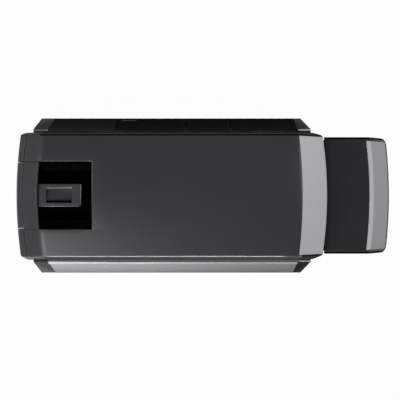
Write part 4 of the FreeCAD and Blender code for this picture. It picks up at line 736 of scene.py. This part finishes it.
def behind_lid_band(x, y, z):
    """The lid band's unpainted back."""
    bow = min(1, abs(y) / LID_BAND_HALF) ** 2
    flat, right, top = LID_FLAT - LID_BOW * bow, LID_RIGHT - LID_END_BOW * bow, LID_TOP - LID_CROWN * bow
    return z < top - rolled_fall(x - flat, right - flat, top) - 1.4


def lid_hem(x, y, z):
    """The lid's lower edge: level over the hopper, then slanting down to the lip of the end."""
    if x <= LID_HEM_X:
        return x, y, LID_HEM_Z
    right = LID_RIGHT - LID_END_BOW * min(1, abs(y) / LID_BAND_HALF) ** 2
    share = min(1, (x - LID_HEM_X) / (right - LID_HEM_X))
    return LID_HEM_X + share * (right - 12 - LID_HEM_X), y, LID_HEM_Z - 36 * share


drop_edge(lid, lid_hem)
lid_band = part_off(lid, "silver_lid_band",
                    lambda x, y, z: abs(y) < LID_BAND_HALF and z > 103
                    and LID_FLAT < x + LID_BOW * (y / LID_BAND_HALF) ** 2
                    and x + LID_END_BOW * (y / LID_BAND_HALF) ** 2 < LID_RIGHT - 1)
for piece in (lid, lid_band):
    apply_modifier(piece, "SOLIDIFY", thickness=2.4 * MM, offset=-1)
    apply_modifier(piece, "BEVEL", width=0.35 * MM, segments=2, limit_method="ANGLE", angle_limit=SHARP)
settle(lid, ["output_lid"], "output_lid", "charcoal_plastic", charcoal_lid)
# The lid's rounded sides and end lip are coated near black as painted shade.
coat_faces(lid, shade_black_abs, lambda x, y, z: abs(y) > 65.5 or x > LID_RIGHT - 6)
coat_faces(lid, charcoal_rim, lambda x, y, z: -65.5 < y < -64.4 and z > 140)
settle(lid_band, ["output_lid_bezel"], "output_lid", "silver_plastic")
coat_faces(lid_band, charcoal_matt, behind_lid_band)
# The lid band's slope below the roll is coated darker silver as painted shade.
coat_faces(lid_band, silver_paint_shaded, lambda x, y, z: x > LID_FLAT + 5.5 - LID_BOW * (y / LID_BAND_HALF) ** 2
           and not behind_lid_band(x, y, z))

# %% [markdown]
# ## Base, panels and trays with softened edges
# The base housing, its side panels and the two card trays have the right shape in CAD, only with knife
# edges. Modelling them again would risk their holes and seats, so each is a copy of its CAD mesh. CAD
# meshes come as loose triangles: the copy is merged, flat faces are joined again, and then a bevel can
# round the true edges.

# %% Soften copies of the CAD shells
def softened(node, name, edge, segments=2, angle=40):
    """A copy of a CAD node with its triangles merged, its flat faces joined and its edges rounded."""
    clear()
    source = frame["nodes"][node]
    copy = bpy.data.objects.new(name, source.data.copy())
    scene.collection.objects.link(copy)
    copy.data.transform(source.matrix_world)
    take(copy)
    bpy.ops.object.mode_set(mode="EDIT")
    bpy.ops.mesh.select_all(action="SELECT")
    bpy.ops.mesh.remove_doubles(threshold=0.002 * MM)
    bpy.ops.mesh.dissolve_limited(angle_limit=math.radians(0.4))
    bpy.ops.object.mode_set(mode="OBJECT")
    apply_modifier(copy, "BEVEL", width=edge * MM, segments=segments, limit_method="ANGLE",
                   angle_limit=math.radians(angle))
    return copy


REAR_GROOVES, PANEL_LEAN = (-109, -25, 29, 102), 19 / 106
SHELLS = (
    ("base_housing", "base_shell", 0.5), ("front_side_panel", "silver_front_panel", 0.9),
    ("rear_side_panel", "black_rear_panel", 0.4), ("ledge_trims", "ledge_trim_strips", 0.2),
    ("bottom_plate", "bottom_tray", 0.5), ("output_hopper_tub", "output_tray", 0.5),
    ("input_hopper_bin", "input_tray", 0.5), ("card_weight", "card_weight_plate", 0.5),
)
for node, name, edge in SHELLS:
    shell = softened(node, name, edge)
    if node == "rear_side_panel":
        for place in REAR_GROOVES:
            cutter = block("groove", (place - 0.6, 94.8, 6), (place + 0.6, 99, 124), 0)
            for vertex in cutter.data.vertices:
                vertex.co.y -= (vertex.co.z - 12 * MM) * PANEL_LEAN
            apply_modifier(shell, "BOOLEAN", operation="DIFFERENCE", solver="EXACT", object=cutter)
            bpy.data.objects.remove(cutter)
    settle(shell, [node], "card_weight" if node == "card_weight" else "base", SLOT_OF[node],
           {"base_housing": charcoal_matt, "front_side_panel": silver_paint_matt,
            "rear_side_panel": panel_abs}.get(node))
    if node == "rear_side_panel":
        # The left part of the rear panel is coated paler as painted light.
        coat_faces(shell, panel_abs_left_lit, lambda x, y, z: x < REAR_GROOVES[0])
    if node == "base_housing":
        for place in (-187.5, 107.5):
            choose(shell, lambda x, y, z: True)
            bpy.ops.mesh.bisect(plane_co=(place * MM, 0, 0), plane_no=(1, 0, 0))
        coat_faces(shell, charcoal_lid, lambda x, y, z: y < -74 and x < -187.4 and 14 < z < 117.8)
        # The front-right end of the base is coated darker as painted shade.
        coat_faces(shell, charcoal_painted_shade, lambda x, y, z: y < -74 and x > 107.4 and 14 < z < 117.8)
        coat_faces(shell, charcoal_abs, lambda x, y, z: y > 74 and 117.5 < z < 118.3)

# %% [markdown]
# A dark polished ledge runs along the base between the cover's rim and the silver panel, a bead painted paler
# as a highlight runs along the panel's top edge, and a short piece of ledge shows at the rear left corner.
# Each is a narrow bar, drawn as a cube at its size with its long edges rounded.

# %% Ledge, bead and rear corner
ledge = block("front_ledge_strip", (-188, -79.0, 116.8), (108, -74, 118.3), 0.4)
settle(ledge, [], "base", "charcoal_plastic", charcoal_land)
# The bead's silver is painted paler than the panel's, as a painted highlight.
bead = block("panel_top_bead", (-187.4, -80.8, 114.6), (107.4, -78.2, 117.2), 0.5)
settle(bead, [], "base", "silver_plastic", silver_paint_highlight)
corner = block("rear_ledge_corner", (-204, 75.2, 116.8), (-188, 78.2, 118.7), 0.3)
settle(corner, [], "base", "charcoal_plastic", charcoal_land)

# %% [markdown]
# ## Hinges and bosses under the cover
# The cover turns on two steel pins at the rear. Each pin runs through two ears of the base and one knuckle
# of the cover. Knuckles and screw bosses are round things, so a profile is drawn point by point with
# vertex extrusions and spun about an axis, as on a lathe.

# %% Lathe helper, knuckles and bosses
TURN = {"x": Euler((0, math.radians(90), 0)), "y": Euler((math.radians(-90), 0, 0)), "z": Euler((0, 0, 0))}


def turned(name, profile, axis, middle, steps=40):
    """Spin a profile: its points are (radius, distance along the axis) in millimetres from the middle."""
    clear()
    bpy.ops.mesh.primitive_plane_add(size=1)
    made = bpy.context.object
    made.name = name
    bpy.ops.object.mode_set(mode="EDIT")
    bpy.ops.mesh.select_mode(type="VERT")
    bpy.ops.mesh.select_all(action="SELECT")
    bpy.ops.mesh.merge(type="CENTER")
    bpy.ops.transform.translate(value=(profile[0][0] * MM, 0, profile[0][1] * MM))
    for (radius, along), (next_radius, next_along) in zip(profile, profile[1:]):
        step = ((next_radius - radius) * MM, 0, (next_along - along) * MM)
        bpy.ops.mesh.extrude_vertices_move(TRANSFORM_OT_translate={"value": step})
    bpy.ops.mesh.select_all(action="SELECT")
    bpy.ops.mesh.spin(steps=steps, angle=math.tau, center=(0, 0, 0), axis=(0, 0, 1))
    bpy.ops.mesh.select_all(action="SELECT")
    bpy.ops.mesh.remove_doubles(threshold=0.002 * MM)
    bpy.ops.mesh.normals_make_consistent(inside=False)
    bpy.ops.object.mode_set(mode="OBJECT")
    made.data.transform(Matrix.Translation(Vector(middle) * MM) @ TURN[axis].to_matrix().to_4x4())
    return made


def tube(bore, radius, start, end, edge=0.4):
    """The profile of a tube with rounded outer edges."""
    return [(bore, start), (radius - edge, start), (radius, start + edge), (radius, end - edge),
            (radius - edge, end), (bore, end), (bore, start)]


def copies(piece, places):
    """Copies of a piece, each with its own mesh, moved by so many millimetres, and the piece itself."""
    made = [piece]
    for place in places:
        copy = bpy.data.objects.new(piece.name, piece.data.copy())
        scene.collection.objects.link(copy)
        copy.data.transform(Matrix.Translation(Vector(place) * MM))
        made.append(copy)
    return made


def corners(length, width):
    """The moves from one corner of a rectangle to the other three."""
    return [(length, 0, 0), (0, width, 0), (length, width, 0)]


def joined(name, pieces):
    """Several pieces joined into one."""
    clear()
    for piece in pieces:
        piece.select_set(True)
    bpy.context.view_layer.objects.active = pieces[0]
    bpy.ops.object.join()
    pieces[0].name = name
    return pieces[0]


knuckles = []
for middle in HINGE_X:
    knuckles.append(turned("knuckle", tube(2.15, 4, -11.5, 11.5), "x", (middle, 72, 124)))
    knuckles.append(block("web", (middle - 11.5, 68.3, 125), (middle + 11.5, 71.8, 131), 0.3))
settle(joined("cover_hinge_knuckles", knuckles), [], "cover", "charcoal_plastic", charcoal_matt)
boss = turned("boss", tube(1.7, 4, 212, 221), "z", (-14, -20, 0))
settle(joined("cover_screw_bosses", copies(boss, corners(28, 40))), [], "cover",
       "charcoal_plastic", charcoal_matt)
knuckle = turned("knuckle", tube(1.7, 3.2, 29.8, 37.8, 0.3), "y", (-213.2, 0, 133))
settle(joined("door_hinge_knuckles", copies(knuckle, [(0, -67.6, 0)])), [], "input_door", "charcoal_plastic",
       charcoal_matt)

# %% [markdown]
# ## Feet and screws
# Rubber feet are moulded with a shallow hollow underneath, so that only a ring stands on the table. The
# screws are pan heads with a cross recess: one is turned, two thin blocks cut its cross, and it is copied
# to every place.

# %% Feet
foot = turned("foot", [(0, 1.2), (4.6, 1.2), (5.4, 0), (7, 0), (7.5, 0.5), (8, 7.6), (7.6, 8), (0, 8)], "z",
              (-181, -74, 0), 48)
settle(joined("moulded_feet", copies(foot, corners(274, 148))), ["rubber_feet"], "base",
       "roller_rubber")

# %% Screws with a cross recess
SCREW = [(0, 0), (1.6, 0.1), (2.4, 0.6), (2.8, 1.4), (2.8, 1.8), (1.5, 1.8), (1.5, 8.2), (1.1, 8.8), (0, 8.8)]


def screws(name, node, body, axis, middle, places, flip=False):
    """A set of cross-head screws, the first at a middle with its head at the low end of the axis."""
    made = turned("screw", SCREW, "z", (0, 0, 0), 32)
    for across, along in ((0.35, 1.5), (1.5, 0.35)):
        cutter = block("cross", (-across, -along, -1), (across, along, 1.1), 0)
        apply_modifier(made, "BOOLEAN", operation="DIFFERENCE", solver="EXACT", object=cutter)
        bpy.data.objects.remove(cutter)
    turn = TURN[axis].to_matrix().to_4x4()
    if flip:
        turn = turn @ Euler((math.pi, 0, 0)).to_matrix().to_4x4()
    made.data.transform(Matrix.Translation(Vector(middle) * MM) @ turn)
    settle(joined(name, copies(made, places)), [node], body, "zinc_steel")


screws("bottom_screw_set", "bottom_screws", "base", "z", (-165, -74, 6.2),
       corners(242, 148))
screws("hopper_screw_set", "hopper_screws", "base", "x", (128.3, -45, 76),
       [(0, 0, 28), (0, 90, 0), (0, 90, 28)], True)
screws("bracket_screw_set", "bracket_screws", "cover", "z", (-14, -20, 208.2),
       corners(28, 40))

# %% [markdown]
# ## Mechanism with broken edges
# Opening the cover shows the mechanism: folded zinc plates, ground rollers, gears, spools, the print head
# with its heat sink, the motor and the fan. Their CAD shapes are right, but machined and folded parts always
# have their edges broken. So each becomes a merged copy with a small bevel, wider on mouldings than on
# sheet metal, and rides on the body its CAD node rides on.

# %% Break the edges of the mechanism
BODY_OF = {node: body for body, nodes in frame["record"]["behaviour"]["bodies"].items() for node in nodes}
EDGES = {
    "chassis_plate_front": 0.25, "chassis_plate_rear": 0.25, "chassis_tie_bars": 0.3, "card_track": 0.4,
    "card_sensor": 0.3, "cover_latch_hook": 0.4, "cover_hinge_pins": 0.3, "lid_hinge_pins": 0.25,
    "door_hinge_pins": 0.25, "drive_motor": 0.6, "motor_pinion": 0.15, "platen_gear": 0.2, "drive_belt": 0.15,
    "ribbon_supply_spool": 0.5, "ribbon_takeup_spool": 0.5, "print_head": 0.25, "head_heat_sink": 0.2,
    "print_head_bracket": 0.4, "main_board": 0.15, "board_components": 0.25, "fan_frame": 0.4, "fan_rotor": 0.2,
    "switch_housing": 0.4, "power_rocker": 0.5, "power_inlet": 0.4, "usb_port": 0.2, "network_port": 0.2,
    "roller_bearings": 0.2,
}
for roller in ("pick", "infeed", "platen", "outfeed", "infeed_pinch", "outfeed_pinch", "cleaning"):
    EDGES[roller + "_roller"] = 0.5
    EDGES[roller + "_shaft"] = 0.3
REAR_FITTINGS = ("switch_housing", "power_rocker", "power_inlet")
for node, edge in EDGES.items():
    settle(softened(node, node + "_broken_edges", edge), [node], BODY_OF[node], SLOT_OF[node],
           component_resin if node in REAR_FITTINGS else None)

# %% [markdown]
# ## Inside the sockets
# A socket that is only a hole looks like a drill mark. The network socket has a row of eight gilt spring
# contacts under its roof, and the square data socket has a plastic tongue. One contact is a small bar with
# a rounded end; the others are copies.

# %% Contacts and tongue
CONTACT_PITCH = 1.1
gilt_contacts = metal("gilt_contact_spring", "#B08D45", "#C7A358", 0.30, (1, 0.1, 1))
contact = block("contact", (3.9, 76, 26.2), (4.4, 88.5, 26.6), 0.12)
choose(contact, lambda x, y, z: y > 88.4)
bpy.ops.mesh.extrude_region_move(TRANSFORM_OT_translate={"value": (0, 1.2 * MM, 0.9 * MM)})
bpy.ops.object.mode_set(mode="OBJECT")
contacts = copies(contact, [(CONTACT_PITCH * step, 0, 0) for step in range(1, 8)])
settle(joined("network_socket_contacts", contacts), [], "base", "bronze", gilt_contacts)
tongue = block("data_socket_tongue", (-29.4, 76, 21.4), (-22.6, 89.5, 24.6), 0.4)
settle(tongue, [], "base", "component_black")

# %% [markdown]
# ## Finger tab of the card weight
# The weight that presses the cards down is lifted by a tab with a finger recess. From above, what shows is
# the edges: the recess has a wide semi-polished bevel on the side that faces the front light, upright
# dark walls elsewhere, and a deeper grip slot along its front. A cube gets its outer edges rounded, its
# top inset and sunk in two steps, and then the slot is sunk into the recess floor the same way.

# %% Tab with a recess
TAB_TOP, BEVEL_FOOT, RECESS_FLOOR, SLOT_FLOOR = 216, 214.4, 211.5, 207


def sink(piece, level, *rings):
    """Sink a recess into a level top face. Each ring is its depth and x low, x high, y low, y high."""
    choose(piece, lambda x, y, z: abs(z - level) < 0.01)
    bpy.ops.mesh.inset(thickness=0.1 * MM)
    for number, (height, left, right, front, rear) in enumerate(rings):
        if number:
            bpy.ops.mesh.extrude_region_move()
        bpy.ops.object.mode_set(mode="OBJECT")
        chosen = [vertex for vertex in piece.data.vertices if vertex.select]
        middle = sum((vertex.co for vertex in chosen), Vector()) / len(chosen)
        for vertex in chosen:
            x = right if vertex.co.x > middle.x else left
            y = rear if vertex.co.y > middle.y else front
            vertex.co = Vector((x, y, height)) * MM
        bpy.ops.object.mode_set(mode="EDIT")
    bpy.ops.object.mode_set(mode="OBJECT")


tab = block("card_weight_tab", (-192, -13, 200), (-141.6, 13, TAB_TOP), 0)
sink(tab, TAB_TOP, (TAB_TOP, -182.4, -152.4, -8.4, 9.8), (BEVEL_FOOT, -181.2, -152.8, -8.1, 7.2),
     (RECESS_FLOOR, -181.0, -153.0, -8.0, 7.0))
sink(tab, RECESS_FLOOR, (RECESS_FLOOR, -180.8, -153.2, -7.9, -5.6), (SLOT_FLOOR, -180.6, -153.4, -7.9, -5.8))
choose(tab, lambda x, y, z: abs(x + 141.6) < 0.1 and abs(y + 13) < 0.1, "EDGE")
bpy.ops.mesh.bevel(offset=4 * MM, segments=6, affect="EDGES")


def on_tab_rim(x, y, z):
    """The outer edge of the tab's top, with its one rounded corner."""
    straight = x < -191.9 or x > -141.7 or abs(y) > 12.9
    return z > TAB_TOP - 0.1 and (straight or (x > -145.6 and y < -9 and math.hypot(x + 145.6, y + 9) > 3.8))


choose(tab, on_tab_rim, "EDGE")
bpy.ops.mesh.bevel(offset=1.5 * MM, segments=3, affect="EDGES")
bpy.ops.object.mode_set(mode="OBJECT")
apply_modifier(tab, "BEVEL", width=0.3 * MM, segments=2, limit_method="ANGLE", angle_limit=math.radians(30))
settle(tab, ["weight_handle"], "card_weight", "handle_plastic")
coat_faces(tab, charcoal_rim, lambda x, y, z: TAB_TOP - 1.6 < z < TAB_TOP - 0.05)
coat_faces(tab, charcoal_lid, lambda x, y, z: abs(z - RECESS_FLOOR) < 0.4)
# The grip slot is coated near black as the painted shadow of the recess's front wall.
coat_faces(tab, shade_black_abs, lambda x, y, z: z < RECESS_FLOOR - 0.4 and -181 < x < -153 and -8 < y < -5.5)
